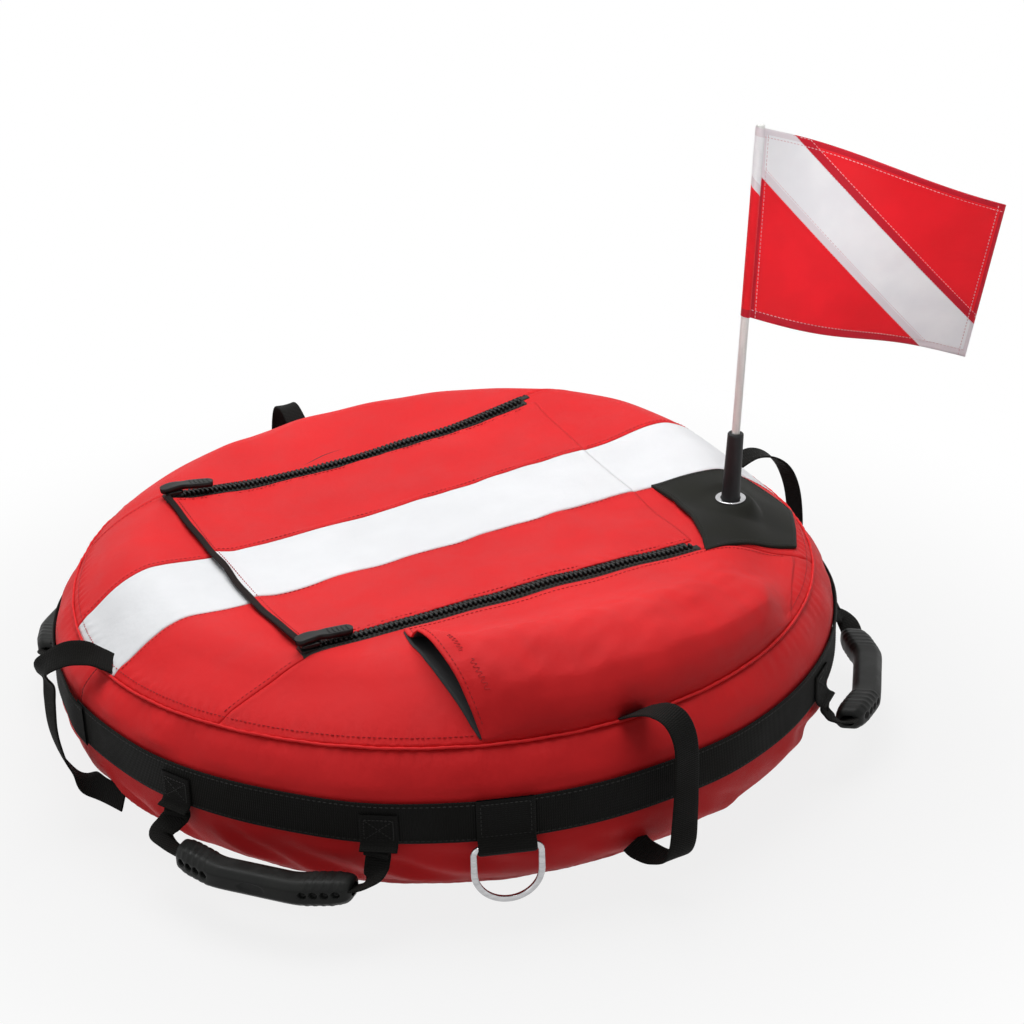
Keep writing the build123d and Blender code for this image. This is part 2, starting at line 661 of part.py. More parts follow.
def bar_plane(angle):
    """Plane square to the ring's bar, x outward and y up."""
    a = radians(angle)
    return Plane(origin=polar(RING_OUT, angle, RING_Z), x_dir=(cos(a), sin(a), 0), z_dir=(sin(a), -cos(a), 0))


for place, angle in RING_ANGLES.items():
    with BuildPart() as ring_tab:
        with BuildSketch(bar_plane(angle)):
            Circle(RING_WIRE_R + RING_FIT + WEB_T)
            Circle(RING_WIRE_R + RING_FIT, mode=Mode.SUBTRACT)
            with Locations((-RING_WIRE_R - RING_FIT - WEB_T / 2, 20)):
                Rectangle(WEB_T, 40)
        extrude(amount=RING_TAB_W / 2, both=True)
    save(ring_tab, f"ring_tab_{place}")
    with BuildPart() as ring:
        with BuildLine(ring_plane(angle)) as wire:
            Line((0, 0), (RING_W / 2 - RING_BEND, 0))
            CenterArc((RING_W / 2 - RING_BEND, -RING_BEND), RING_BEND, 90, -90)
            Line((RING_W / 2, -RING_BEND), (RING_W / 2, RING_W / 2 - RING_H))
            CenterArc((0, RING_W / 2 - RING_H), RING_W / 2, 0, -90)
        with BuildSketch(bar_plane(angle)):
            Circle(RING_WIRE_R)
        sweep(path=wire.wires()[0])
        mirror(about=bar_plane(angle))
    save(ring, f"ring_{place}")
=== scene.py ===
from math import asin, cos, degrees, hypot, pi, radians, sin, sqrt

import bpy
import numpy as np
from mathutils import Matrix, Vector


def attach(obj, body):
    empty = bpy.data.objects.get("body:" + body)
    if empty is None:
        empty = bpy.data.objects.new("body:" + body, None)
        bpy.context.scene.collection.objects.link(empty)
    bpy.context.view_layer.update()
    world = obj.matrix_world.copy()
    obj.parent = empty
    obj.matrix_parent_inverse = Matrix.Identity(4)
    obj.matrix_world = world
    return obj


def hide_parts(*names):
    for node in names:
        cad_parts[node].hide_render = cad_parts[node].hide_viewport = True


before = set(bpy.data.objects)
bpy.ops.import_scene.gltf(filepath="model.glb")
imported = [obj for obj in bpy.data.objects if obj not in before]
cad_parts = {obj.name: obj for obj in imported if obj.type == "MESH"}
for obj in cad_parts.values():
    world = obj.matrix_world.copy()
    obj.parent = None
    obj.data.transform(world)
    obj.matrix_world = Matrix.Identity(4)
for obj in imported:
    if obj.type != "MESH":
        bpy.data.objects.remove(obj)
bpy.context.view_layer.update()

# The studio: a camera where the photograph was taken from, a white floor and sky, and
# three soft lamps: overhead, at the left and on the flag. None of it belongs to the buoy.
VIEW_SIDE = radians(24)
LOOK_DOWN = 0.461
ROLL = -0.047
VIEW_HEIGHT, VIEW_AWAY = 0.170, 2.220


def place_object(name, data):
    """Puts a mesh, lamp or camera into the scene."""
    made = bpy.data.objects.new(name, data)
    bpy.context.scene.collection.objects.link(made)
    return made


back = Vector((-sin(VIEW_SIDE) * cos(LOOK_DOWN), -cos(VIEW_SIDE) * cos(LOOK_DOWN), sin(LOOK_DOWN)))
level = Vector((cos(VIEW_SIDE), -sin(VIEW_SIDE), 0))
rising = Vector((sin(VIEW_SIDE) * sin(LOOK_DOWN), cos(VIEW_SIDE) * sin(LOOK_DOWN), cos(LOOK_DOWN)))
right_hand = cos(ROLL) * level + sin(ROLL) * rising
top_hand = -sin(ROLL) * level + cos(ROLL) * rising
eye = bpy.data.cameras.new("camera")
eye.lens = 77.15
eye.sensor_width = 36
eye.shift_x = 0.0689
eye.shift_y = 0.0436
camera = place_object("camera", eye)
turned = Matrix((right_hand, top_hand, back)).transposed().to_4x4()
camera.matrix_world = Matrix.Translation(Vector((0, 0, VIEW_HEIGHT)) + VIEW_AWAY * back) @ turned
bpy.context.scene.camera = camera
bpy.context.scene.view_settings.view_transform = "Standard"


class Wire:
    """A value on its way through a finish's nodes; sums and products add their Math nodes."""

    def __init__(self, tree, socket=None):
        self.tree = tree
        self.socket = socket

    def node(self, kind, settings=None, sockets=None, out=0):
        """Adds one node of that type, with its settings and its sockets' values or links."""
        made = self.tree.nodes.new(kind)
        for word, value in (settings or {}).items():
            setattr(made, word, value)
        for word, value in (sockets or {}).items():
            plug = made.inputs[word]
            if isinstance(value, Wire):
                self.tree.links.new(value.socket, plug)
            elif plug.type == "RGBA":
                plug.default_value = (*value, 1)
            else:
                plug.default_value = value
        return Wire(self.tree, made.outputs[out])

    def also(self, out):
        """Another output of the same node."""
        return Wire(self.tree, self.socket.node.outputs[out])

    def math(self, work, first, second=0.0):
        return self.node("ShaderNodeMath", {"operation": work}, {0: first, 1: second})

    def __add__(self, other):
        return self.math("ADD", self, other)

    __radd__ = __add__

    def __sub__(self, other):
        return self.math("SUBTRACT", self, other)

    def __rsub__(self, other):
        return self.math("SUBTRACT", other, self)

    def __mul__(self, other):
        return self.math("MULTIPLY", self, other)

    __rmul__ = __mul__

    def __lt__(self, other):
        return self.math("LESS_THAN", self, other)

    def __gt__(self, other):
        return self.math("GREATER_THAN", self, other)

    def wave(self, pitch):
        return self.math("SINE", self * (2 * pi / pitch))

    def ramp(self, low, high, start=0.0, end=1.0):
        sockets = {0: self, 1: low, 2: high, 3: start, 4: end}
        return self.node("ShaderNodeMapRange", {"interpolation_type": "SMOOTHSTEP"}, sockets)

    def dye(self, start, end):
        """A colour between two, this far along."""
        return self.node("ShaderNodeMix", {"data_type": "RGBA"}, {0: self, 6: start, 7: end}, out=2)

    def place(self):
        return self.node("ShaderNodeTexCoord", out=3)

    def cloth_way(self):
        """Metres along and across the cloth."""
        parts = self.node("ShaderNodeSeparateXYZ", None, {0: self.node("ShaderNodeUVMap")})
        return parts, parts.also(1)

    def cloud(self, size, detail=3.0, rough=0.55, stretch=None):
        spot = self.place()
        if stretch:
            spot = self.node("ShaderNodeMapping", None, {0: spot, 3: stretch})
        sockets = {"Vector": spot, "Scale": 1 / size, "Detail": detail, "Roughness": rough}
        return self.node("ShaderNodeTexNoise", None, sockets)

    def relief(self, deep, under=None, strength=1.0):
        sockets = {"Strength": strength, "Distance": deep, "Height": self}
        if under:
            sockets["Normal"] = under
        return self.node("ShaderNodeBump", None, sockets)


def finish(name, feeds, plain):
    """A finish: feeds gives what varies over the surface, and plain what is the same all over."""
    made = bpy.data.materials.new(name)
    made.use_nodes = True
    shader = made.node_tree.nodes["Principled BSDF"]
    for word, value in plain.items():
        shader.inputs[word].default_value = value
    for word, wire in feeds(Wire(made.node_tree)).items():
        made.node_tree.links.new(wire.socket, shader.inputs[word])
    return made


def skin(shade, dark, light, matt, normal, low=0.3, high=0.7):
    """What most finishes feed: a colour and a roughness that follow one shade, and a normal."""
    return {
        "Base Color": shade.ramp(low, high).dye(dark, light),
        "Roughness": shade.ramp(0.3, 0.7, *matt),
        "Normal": normal,
    }


def seen_ray(start):
    """1 for a ray that the camera sees, straight, mirrored or through glass, and else 0."""
    ray = start.node("ShaderNodeLightPath")
    return start.math("MINIMUM", ray + ray.also(3) + ray.also(6), 1.0)


FLOOR_SIZE = 14.0
corner = FLOOR_SIZE / 2
plate = bpy.data.meshes.new("floor")
square = [(-corner, -corner, 0), (corner, -corner, 0), (corner, corner, 0), (-corner, corner, 0)]
plate.from_pydata(square, [], [(0, 1, 2, 3)])
floor = place_object("floor", plate)
paint = bpy.data.materials.new("floor")
paint.use_nodes = True
start = Wire(paint.node_tree)
spot = start.node("ShaderNodeSeparateXYZ", None, {0: start.place()})
across = spot.also(1)
far_off = start.math("SQRT", spot * spot + across * across).ramp(0.40, 0.90)
lit = start.node("ShaderNodeBsdfDiffuse", None, {"Color": (0.45, 0.45, 0.45)})
white = start.node("ShaderNodeEmission", None, {"Color": (1, 1, 1), "Strength": 1.0})
share = seen_ray(start) * (0.84 + 0.16 * far_off)
mixed = start.node("ShaderNodeMixShader", None, {0: share, 1: lit, 2: white})
paint.node_tree.links.new(mixed.socket, paint.node_tree.nodes["Material Output"].inputs[0])
plate.materials.append(paint)

world = bpy.data.worlds.new("studio")
world.use_nodes = True
bpy.context.scene.world = world
backdrop = world.node_tree.nodes["Background"]
backdrop.inputs["Color"].default_value = (1, 1, 1, 1)
# The sky is seen white, and lights the buoy with a fifth of that
SKY_LIGHT = 0.20
sky = seen_ray(Wire(world.node_tree)) * (1 - SKY_LIGHT) + SKY_LIGHT
world.node_tree.links.new(sky.socket, backdrop.inputs["Strength"])

# Name, place, width, power, spread in degrees, and the place that it is turned to
LAMPS = [
    ("top_lamp", (0.0, 0.36, 2.4), 1.8, 55, 180, (0, 0, 0.1)),
    ("left_lamp", (-2.4, -0.6, 1.4), 1.2, 3, 180, (0, 0, 0.1)),
    ("flag_lamp", (-0.5, -2.3, 1.0), 0.4, 0.52, 18, (0.38, -0.17, 0.54)),
]
for name, place, wide, power, spread, target in LAMPS:
    lamp = bpy.data.lights.new(name, "AREA")
    lamp.size = wide
    lamp.energy = power
    lamp.spread = radians(spread)
    stand = place_object(name, lamp)
    stand.location = place
    stand.rotation_euler = (Vector(place) - Vector(target)).to_track_quat("Z", "Y").to_euler()

# The cover's outer wall: coated red nylon cloth, cut as two long strips and sewn
# to the top panels along a piped seam. The tube inside keeps it round.
MM = 0.001
BELT_R = 392.0
SEAM_R, SEAM_Z = 370.0, 170.0
BELT_TOP, BELT_LOW = 130.0, 89.0
FLAT_R, TOP_Z = 290.0, 220.0
FOOT_R, FOOT_Z = 352.0, 22.0
FLOOR_R = 310.0
WALL_SEAMS = (-176.3, 3.7)
END_SAG = 11.0
WAVES = 9
# Millimetres along the wall to a degree, as its folds are laid out
PER_DEGREE = 6.5


def smooth(x, low, high):
    """Rises from 0 at low to 1 at high, without a corner at either."""
    t = np.clip((x - low) / (high - low), 0, 1)
    return t * t * (3 - 2 * t)


def bell(x, wide):
    """1 at 0, and fading within about that width to both sides."""
    return np.exp(-((x / wide) ** 2))


def ripples(x, y, size, seed):
    """Soft uneven waves of about that size, from -1 to 1."""
    draw = np.random.default_rng(seed)
    total = 0 * x
    for _ in range(WAVES):
        way = draw.uniform(0, 2 * pi)
        pitch = size * draw.uniform(0.7, 1.6)
        total = total + np.sin(2 * pi * (x * cos(way) + y * sin(way)) / pitch + draw.uniform(0, 2 * pi))
    return total / sqrt(WAVES)


def end_sag(x, y):
    """How far the top seam hangs below its height at the left end."""
    return END_SAG * bell(np.degrees(np.arctan2(y, -x)), 30)


def unit(ways):
    """The same directions, each of length 1."""
    return ways / np.linalg.norm(ways, axis=-1, keepdims=True)


def run_length(line):
    """How far along a line each of its points lies."""
    return np.concatenate([[0], np.cumsum(np.linalg.norm(np.diff(line, axis=0), axis=1))])


def sample(at, along, values):
    """A table's columns, read at other places along it."""
    return np.stack([np.interp(at, along, column) for column in values.T], -1)


def grid_piece(name, points, wrap=False, thick=0.0, flip=False):
    """A sheet of quads through a grid of points in millimetres, with UVs in metres."""
    rows, cols = points.shape[:2]
    index = np.arange(rows * cols).reshape(rows, cols)
    ring = points
    if wrap:
        index = np.vstack([index, index[:1]])
        ring = np.concatenate([points, points[:1]])
    along = np.concatenate([[0], np.cumsum(np.linalg.norm(np.diff(ring, axis=0), axis=2).mean(1))])
    over = np.concatenate([[0], np.cumsum(np.linalg.norm(np.diff(ring, axis=1), axis=2).mean(0))])
    corners = [(0, 0), (1, 0), (1, 1), (0, 1)]
    if flip:
        corners = corners[::-1]
    n, m = index.shape[0] - 1, index.shape[1] - 1
    faces = np.stack([index[a:n + a, b:m + b].ravel() for a, b in corners], 1)
    mesh = bpy.data.meshes.new(name)
    mesh.from_pydata((points.reshape(-1, 3) * MM).tolist(), [], faces.tolist())
    layer = mesh.uv_layers.new(name="UVMap")
    us = np.stack([np.repeat(along[a:n + a], m) for a, b in corners], 1)
    vs = np.stack([np.tile(over[b:m + b], n) for a, b in corners], 1)
    layer.data.foreach_set("uv", (np.stack([us, vs], 2) * MM).ravel())
    mesh.shade_smooth()
    piece = place_object(name, mesh)
    if thick:
        shell = piece.modifiers.new("cloth", "SOLIDIFY")
        shell.thickness = thick * MM
        shell.offset = -1
    return piece


def sew(piece, body, slot, look, *nodes):
    """Fixes a piece to its body, with its finish and the solids that it stands for."""
    piece.data.materials.clear()
    piece.data.materials.append(look)
    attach(piece, body)
    if nodes:
        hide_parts(*nodes)
    return piece


def weave(start, pitch):
    """Height of a plain weave, thread over thread."""
    u, v = start.cloth_way()
    return u.wave(pitch) * v.wave(pitch)


def block_mesh(name, points, polygons):
    """A piece from points in millimetres and faces, with an empty UV layer."""
    mesh = bpy.data.meshes.new(name)
    mesh.from_pydata((points * MM).tolist(), [], polygons)
    mesh.uv_layers.new(name="UVMap")
    return place_object(name, mesh)


def stitches(name, body, slot, look, line, up, long=3.2, gap=1.5, wide=0.9, tall=0.45):
    """A row of stitches along a line: each a small rounded bar of thread lying on the cloth."""
    line = np.asarray(line, float)
    up = np.broadcast_to(np.asarray(up, float), line.shape)
    along = run_length(line)
    pitch = long + gap
    count = max(1, int(along[-1] / pitch))
    start = (np.arange(count) + 0.1) * pitch
    first = sample(start, along, line)
    way = sample(start + long, along, line) - first
    side = unit(np.cross(sample(start + long / 2, along, up), way))
    normal = unit(np.cross(way, side))
    stations = [(0, 0.4, 0.2), (0.25, 1, 1), (0.75, 1, 1), (1, 0.4, 0.2)]
    section = [(-0.5, -0.4), (-0.3, 1), (0.3, 1), (0.5, -0.4)]
    points = [
        first + t * way + side * (u * w * wide) + normal * (v * h * tall)
        for t, w, h in stations for u, v in section
    ]
    points = np.stack(points, 1).reshape(-1, 3)
    faces = [
        (4 * s + j, 4 * s + (j + 1) % 4, 4 * s + 4 + (j + 1) % 4, 4 * s + 4 + j)
        for s in range(3) for j in range(4)
    ]
    faces = np.array(faces + [(3, 2, 1, 0), (12, 13, 14, 15)])
    polygons = (faces[None] + 16 * np.arange(count)[:, None, None]).reshape(-1, 4)
    return sew(block_mesh(name, points, polygons.tolist()), body, slot, look)


def thread_look(name, dark, light):
    def feeds(start):
        fuzz = start.cloud(0.0006, 2, 0.6).relief(0.0002, strength=0.5)
        return skin(start.cloud(0.02, 2, 0.5), dark, light, (0.5, 0.65), fuzz)

    return finish(name, feeds, {"Specular IOR Level": 0.3})


def cover_look(name, deep, light, rough):
    def feeds(start):
        threads = weave(start, 0.0011)
        folds = start.cloud(0.045, 4, 0.6)
        patch = start.cloud(0.16, 2, 0.5)
        # The colour follows the cloth's uneven tone, and also the folds' height, lighter on their crests:
        # painted shade in the folds.
        colour = (patch * 0.6 + folds * 0.4).ramp(0.3, 0.7).dye(deep, light)
        under = folds.relief(0.0035, strength=0.45)
        return {
            "Base Color": colour,
            "Roughness": folds.ramp(0.3, 0.7, rough - 0.05, rough + 0.07),
            "Normal": threads.relief(0.0003, under, 0.35),
        }

    return finish(name, feeds, {"Specular IOR Level": 0.22, "Sheen Weight": 0.03, "Sheen Roughness": 0.4})


red_cloth = cover_look("red_cloth", (0.66, 0.010, 0.013), (0.77, 0.017, 0.020), 0.58)
red_thread = thread_look("red_thread", (0.36, 0.008, 0.011), (0.48, 0.014, 0.018))


def arc_points(centre, radius, start, end, count):
    """Points of an arc between two angles in degrees."""
    turn = np.radians(np.linspace(start, end, count))
    return np.stack([centre[0] + radius * np.cos(turn), centre[1] + radius * np.sin(turn)], 1)


def side_profile():
    """The wall's section, from the top seam over the belt to the floor: radius and height."""
    drop = np.linspace(0, 1, 12)
    out = SEAM_R + (BELT_R - SEAM_R) * drop + 2.0 * np.sin(pi * drop)
    low_r = ((BELT_LOW - FOOT_Z) ** 2 + (BELT_R - FOOT_R) ** 2) / (2 * (BELT_R - FOOT_R))
    toe_r = ((FOOT_R - FLOOR_R) ** 2 + FOOT_Z ** 2) / (2 * FOOT_Z)
    low_a = degrees(asin((BELT_LOW - FOOT_Z) / low_r))
    toe_a = degrees(asin((toe_r - FOOT_Z) / toe_r))
    belt = np.linspace(BELT_TOP, BELT_LOW, 9)[1:-1]
    return np.concatenate([
        np.stack([out, SEAM_Z + (BELT_TOP - SEAM_Z) * drop], 1),
        np.stack([0 * belt + BELT_R, belt], 1),
        arc_points((BELT_R - low_r, BELT_LOW), low_r, 0, -low_a, 18),
        arc_points((FLOOR_R, toe_r), toe_r, -toe_a, -90, 9)[1:],
    ])


# Diagonal slack folds of the lower wall: angle and height at each end, width, depth
SLACK = [
    (-168, 70, -160, 30, 8, 4.5),
    (-160, 82, -150, 40, 9, 4.5),
    (-148, 84, -134, 40, 8, 5.5),
    (-140, 80, -124, 28, 9, 5.5),
    (-128, 78, -112, 34, 8, 5.0),
    (-120, 84, -104, 52, 9, 4.0),
    (-98, 80, -84, 40, 9, 4.0),
    (-80, 78, -66, 34, 9, 4.0),
    (-60, 82, -44, 40, 9, 4.0),
]


def wall_points():
    """The wall with its folds, puckers and seams, by angle and then along its section."""
    angles = np.linspace(-180, 180, 576, endpoint=False)
    shape = side_profile()
    a, r = np.meshgrid(angles, shape[:, 0], indexing="ij")
    z = np.broadcast_to(shape[:, 1], r.shape)
    folds = list(SLACK)
    draw = np.random.default_rng(11)
    for step in range(16):
        begin = -40 + step * 14 + draw.uniform(-3, 3)
        end = begin + draw.uniform(8, 16)
        folds.append((begin, 82, end, draw.uniform(26, 50), 8, draw.uniform(1.5, 3)))
    shift = 0 * a
    for a0, z0, a1, z1, wide, deep in folds:
        px = ((a - a0 + 180) % 360 - 180) * PER_DEGREE
        run, drop = (a1 - a0) * PER_DEGREE, z1 - z0
        long = hypot(run, drop)
        t = np.clip((px * run + (z - z0) * drop) / long ** 2, 0, 1)
        away = np.hypot(px - t * run, z - z0 - t * drop)
        side = np.sign((px * drop - (z - z0) * run))
        share = np.sin(pi * np.clip(t, 0.05, 0.95))
        shift -= deep * bell(away, wide) * share
        shift += 0.7 * deep * bell(away - 1.6 * wide, wide) * (side > 0) * share
    lower = smooth(BELT_LOW - z, 0, 20) * smooth(z, 2, 16)
    upper = smooth(z - BELT_TOP, 0, 12) * smooth(SEAM_Z - z, 0, 12)
    r = r + shift * lower + 2.0 * lower
    r = r + upper * (1.5 + 0.8 * ripples(a * PER_DEGREE, z, 70, 3))
    r = r + lower * 1.2 * ripples(a * PER_DEGREE, z, 60, 5)
    pucker = np.sin(a * PER_DEGREE * 2 * pi / 13 + 2 * ripples(a, a * 0, 9, 8))
    r = r + 0.5 * pucker * (bell(z - SEAM_Z + 8, 9) + bell(z - FOOT_Z, 10)) * (z > 8)
    for seam in WALL_SEAMS:
        off = ((a - seam + 180) % 360 - 180) * 6.8
        r = r - 1.5 * bell(off, 2.5) * (z > 8) + 0.8 * bell(off - 7, 5) * (z > 8)
    turn = np.radians(a)
    x, y = r * np.cos(turn), r * np.sin(turn)
    return np.stack([x, y, z - end_sag(x, y) * smooth(z, BELT_TOP, SEAM_Z)], 2)


wall_grid = wall_points()
wall = grid_piece("cover_wall", wall_grid, wrap=True, thick=1.2, flip=True)
sew(wall, "float", "cover_red", red_cloth, "side_panel")
line = np.vstack([wall_grid[:, -4], wall_grid[:1, -4]])
outward = line * np.array([1, 1, 0]) / BELT_R
stitches("wall_row_lower", "float", "cover_red", red_thread, line + 0.3 * outward, outward)
# A dark red thread along the wall's two seams: painted shadow of the seam's groove.
seam_shadow_thread = thread_look("seam_shadow_thread", (0.10, 0.004, 0.005), (0.16, 0.006, 0.008))
for k, seam in enumerate(WALL_SEAMS):
    line = wall_grid[round((seam + 180) / 360 * len(wall_grid)), 1:-12]
    outward = line * np.array([1, 1, 0]) / BELT_R
    stitches(
        f"wall_seam_row_{k}", "float", "cover_red", seam_shadow_thread, line + 0.2 * outward, outward,
        long=3.4, gap=0.3, wide=1.0, tall=0.5,
    )

# The cover's top: red panels and a white stripe, cut flat, sewn edge to edge with
# turned seams, and pulled over the tube. It sags towards the left, where the tube
# is softer, and crowns along the tube's ridge.
PANEL_Y = 198.0
STRIPE_Y = 56.0
LID_X0, LID_X1 = -228.0, 200.0
LID_LAP = 12.0
RIDGE_R, RIDGE_W = 288.0, 52.0
ZIP_Y = 188.0
ASKEW = 7.0
# How the top tilts and twists: shares of each power of x and y over 300 mm
TILT = {
    (0, 0): -8.5, (1, 0): 18.7, (0, 1): -7.6, (1, 1): 10.2, (2, 0): -1.9,
    (0, 2): 3.2, (3, 0): -6.1, (2, 1): 25.7, (1, 2): -16.0, (0, 3): 4.9,
}
white_cloth = cover_look("white_cloth", (0.80, 0.81, 0.83), (0.87, 0.88, 0.90), 0.45)


def crown(x, y):
    """Height of the cover's top at rest."""
    r = np.hypot(x, y)
    base = TOP_Z - (TOP_Z - SEAM_Z) * (np.clip(r - FLAT_R, 0, None) / (SEAM_R - FLAT_R)) ** 1.8
    tilt = sum(share * (x / 300) ** i * (y / 300) ** j for (i, j), share in TILT.items())
    loose = smooth(SEAM_R - r, 0, 50)
    sag = end_sag(x, y) * (smooth(r, 318, 358) - 0.45 * bell(r - 332, 20))
    slack = loose * (tilt + 0.8 * ripples(x, y, 90, 21))
    return base + 7.5 * bell(r - RIDGE_R, RIDGE_W) - 3.5 * bell(r, 120) - sag + slack


def on_top(x, y, high):
    """Points that far over the cover's top."""
    x, y = np.broadcast_arrays(x, y)
    return np.stack([x, y, crown(x, y) + high], -1)


def lid_end(y):
    """x of the lid's sewn right end, which runs a little askew."""
    return LID_X1 - ASKEW + ASKEW * y / ZIP_Y


def seam_dip(off):
    """A sewn seam's thin groove, with the turned edge standing beside it."""
    return -1.0 * bell(off, 1.5) + 0.5 * bell(off - 4.5, 2.8)


def rim_pucker(x, y):
    """Small puckers where the top is gathered into the piped seam."""
    around_rim = np.degrees(np.arctan2(y, x)) * 6.4
    wave = np.sin(around_rim * 2 * pi / 12 + 2 * ripples(x, y, 40, 4))
    return 0.7 * bell(SEAM_R - np.hypot(x, y) - 7, 6) * wave


def top_panel(name, x0, x1, y0, y1, look, slot):
    """A panel of the top between two lines of y, from x0 or the lid's end to x1, or to the seam."""
    ys = np.linspace(y0, y1, max(8, int((y1 - y0) / 1.9)))
    t = np.linspace(0, 1, 70)
    reach = np.sqrt(SEAM_R ** 2 - ys ** 2)
    start = lid_end(ys) - LID_LAP if x0 is None else np.maximum(x0, -reach)
    end = np.minimum(x1, reach)
    x = start[:, None] + (end - start)[:, None] * t
    y = np.broadcast_to(ys[:, None], x.shape)
    dips = seam_dip(abs(y - y0)) + seam_dip(abs(y - y1))
    piece = grid_piece(name, on_top(x, y, rim_pucker(x, y) + dips), thick=1.2, flip=True)
    return sew(piece, "float", slot, look, name)


LEFT_END = LID_X0 + LID_LAP
for word, x0, x1 in (("left", -400, LEFT_END), ("right", None, 400)):
    top_panel(f"top_{word}_far", x0, x1, STRIPE_Y, PANEL_Y, red_cloth, "cover_red")
    top_panel(f"stripe_{word}", x0, x1, -STRIPE_Y, STRIPE_Y, white_cloth, "stripe_white")
    top_panel(f"top_{word}_near", x0, x1, -PANEL_Y, -STRIPE_Y, red_cloth, "cover_red")


def side_segment(name, side):
    """The round segment outside a zip, from its straight edge to the seam."""
    first = asin(PANEL_Y / SEAM_R)
    turn = np.linspace(first, pi - first, 200)
    t = np.linspace(0, 1, 56)
    start = PANEL_Y / np.sin(turn)
    r = start[:, None] + (SEAM_R - start)[:, None] * t
    x = r * np.cos(turn)[:, None]
    y = side * r * np.sin(turn)[:, None]
    outside = (x < LID_X0 + 5) | (x > LID_X1)
    high = rim_pucker(x, y) + seam_dip(abs(y) - PANEL_Y) * outside
    piece = grid_piece(name, on_top(x, y, high), thick=1.2, flip=side > 0)
    return sew(piece, "float", "cover_red", red_cloth, name)


side_segment("top_far", 1)
side_segment("top_near", -1)


def flat_row(name, x0, x1, y):
    """A row of red stitches along a line of y on the top."""
    line = on_top(np.linspace(x0, x1, 200), y, 0.4)
    stitches(name, "float", "cover_red", red_thread, line, (0, 0, 1))


for side, word in ((1, "far"), (-1, "near")):
    reach = sqrt(SEAM_R ** 2 - STRIPE_Y ** 2) - 8
    y = side * (STRIPE_Y + 4)
    flat_row(f"stripe_left_row_{word}", -reach, LEFT_END - 12, y)
    flat_row(f"stripe_right_row_{word}", lid_end(y) + 5, reach, y)
    reach = sqrt(SEAM_R ** 2 - PANEL_Y ** 2) - 8
    flat_row(f"panel_left_row_{word}", -reach, LID_X0 - 8, side * (PANEL_Y - 4))

# The top seam: a thin cord rolled in the same red cloth and sewn in between the
# top panels and the wall, with a row of stitches through the top beside it.
CORD_SIDES = 10


def cord(name, line, radius):
    """A closed round cord along a line of points in millimetres, each with its radius."""
    ahead = unit(np.roll(line, -1, 0) - np.roll(line, 1, 0))
    side = unit(np.cross(ahead, (0, 0, 1.0)))
    over = np.cross(side, ahead)
    turn = np.linspace(0, 2 * pi, CORD_SIDES + 1)[:, None]
    ring = side[:, None] * np.cos(turn) + over[:, None] * np.sin(turn)
    return grid_piece(name, line[:, None] + radius[:, None, None] * ring, wrap=True)


PIPING_R = 1.4
turn = np.linspace(-pi, pi, 720, endpoint=False)
wobble = 0.5 * np.sin(turn * 53) + 0.4 * np.sin(turn * 31 + 1)
cord_r = SEAM_R + 1.0 + 0.3 * wobble
cord_x, cord_y = cord_r * np.cos(turn), cord_r * np.sin(turn)
cord_z = SEAM_Z + 0.6 + wobble * 0.6 - end_sag(cord_x, cord_y)
piping = cord("seam_piping", np.stack([cord_x, cord_y, cord_z], 1), PIPING_R + 0.2 * np.sin(turn * 190))
sew(piping, "float", "cover_red", red_cloth, "piping")
row_r = SEAM_R - 5.5
line = on_top(row_r * np.cos(turn), row_r * np.sin(turn), 0.5)
tilted = np.stack([np.cos(turn), np.sin(turn), 0 * turn + 0.6], 1)
stitches("seam_top_stitches", "float", "cover_red", red_thread, line, tilted)

# The floor panel and the gear well's lining: coated black cloth. The lining is
# sewn to the top's underside and to the floor panel, so the well is a bucket.
WELL_R, WELL_RIM_R = 181.0, 235.0


def dark_cloth_feeds(start):
    folds = start.cloud(0.05, 3, 0.5)
    threads = weave(start, 0.0014).relief(0.0003, folds.relief(0.003, strength=0.4), 0.4)
    # The colour follows the folds' height, lighter on their crests: painted shade in the folds.
    return skin(folds, (0.010, 0.010, 0.011), (0.022, 0.022, 0.024), (0.5, 0.62), threads)


black_cloth = finish("black_cloth", dark_cloth_feeds, {"Specular IOR Level": 0.3})
turn = np.linspace(-pi, pi, 241)[:-1]
ring = np.concatenate([np.linspace(0, FLOOR_R - 6, 24), [FLOOR_R - 3, FLOOR_R]])
a, r = np.meshgrid(turn, ring, indexing="ij")
x, y = r * np.cos(a), r * np.sin(a)
z = 1.8 + 0.5 * (1 + ripples(x, y, 80, 41)) * smooth(FLOOR_R - r, 0, 30)
z = z + 0.2 * smooth(r, FLOOR_R - 6, FLOOR_R)
floor_panel = grid_piece("floor_panel", np.stack([x, y, z], 2), wrap=True, thick=1.4)
sew(floor_panel, "float", "bottom_fabric", black_cloth, "bottom_panel")

rise = TOP_Z - 2 - TOP_Z / 2
bow = (rise ** 2 + (WELL_RIM_R - WELL_R) ** 2) / (2 * (WELL_RIM_R - WELL_R))
a, t = np.meshgrid(turn, np.linspace(0, 1, 30), indexing="ij")
rim_z = crown(WELL_RIM_R * np.cos(a), WELL_RIM_R * np.sin(a)) - 3.0
z = 3 + (rim_z - 3) * t
r = WELL_R - 3 + bow - np.sqrt(bow ** 2 - np.clip(z - TOP_Z / 2, 0, rise) ** 2)
r = r + 1.6 * ripples(a * 180, z * 0.35, 60, 43) * smooth(z, 4, 30)
well = np.stack([r * np.cos(a), r * np.sin(a), z], 2)
lining = grid_piece("well_lining_cloth", well, wrap=True, thick=1.2)
sew(lining, "float", "bottom_fabric", black_cloth, "well_lining")

# The inflated tube inside the cover: moulded black rubber. It shows only where the
# lid is open, and it keeps the cloth tight.
TUBE_R, TUBE_HALF, TUBE_MID, TUBE_TALL = 284.0, 88.0, 104.0, 96.0


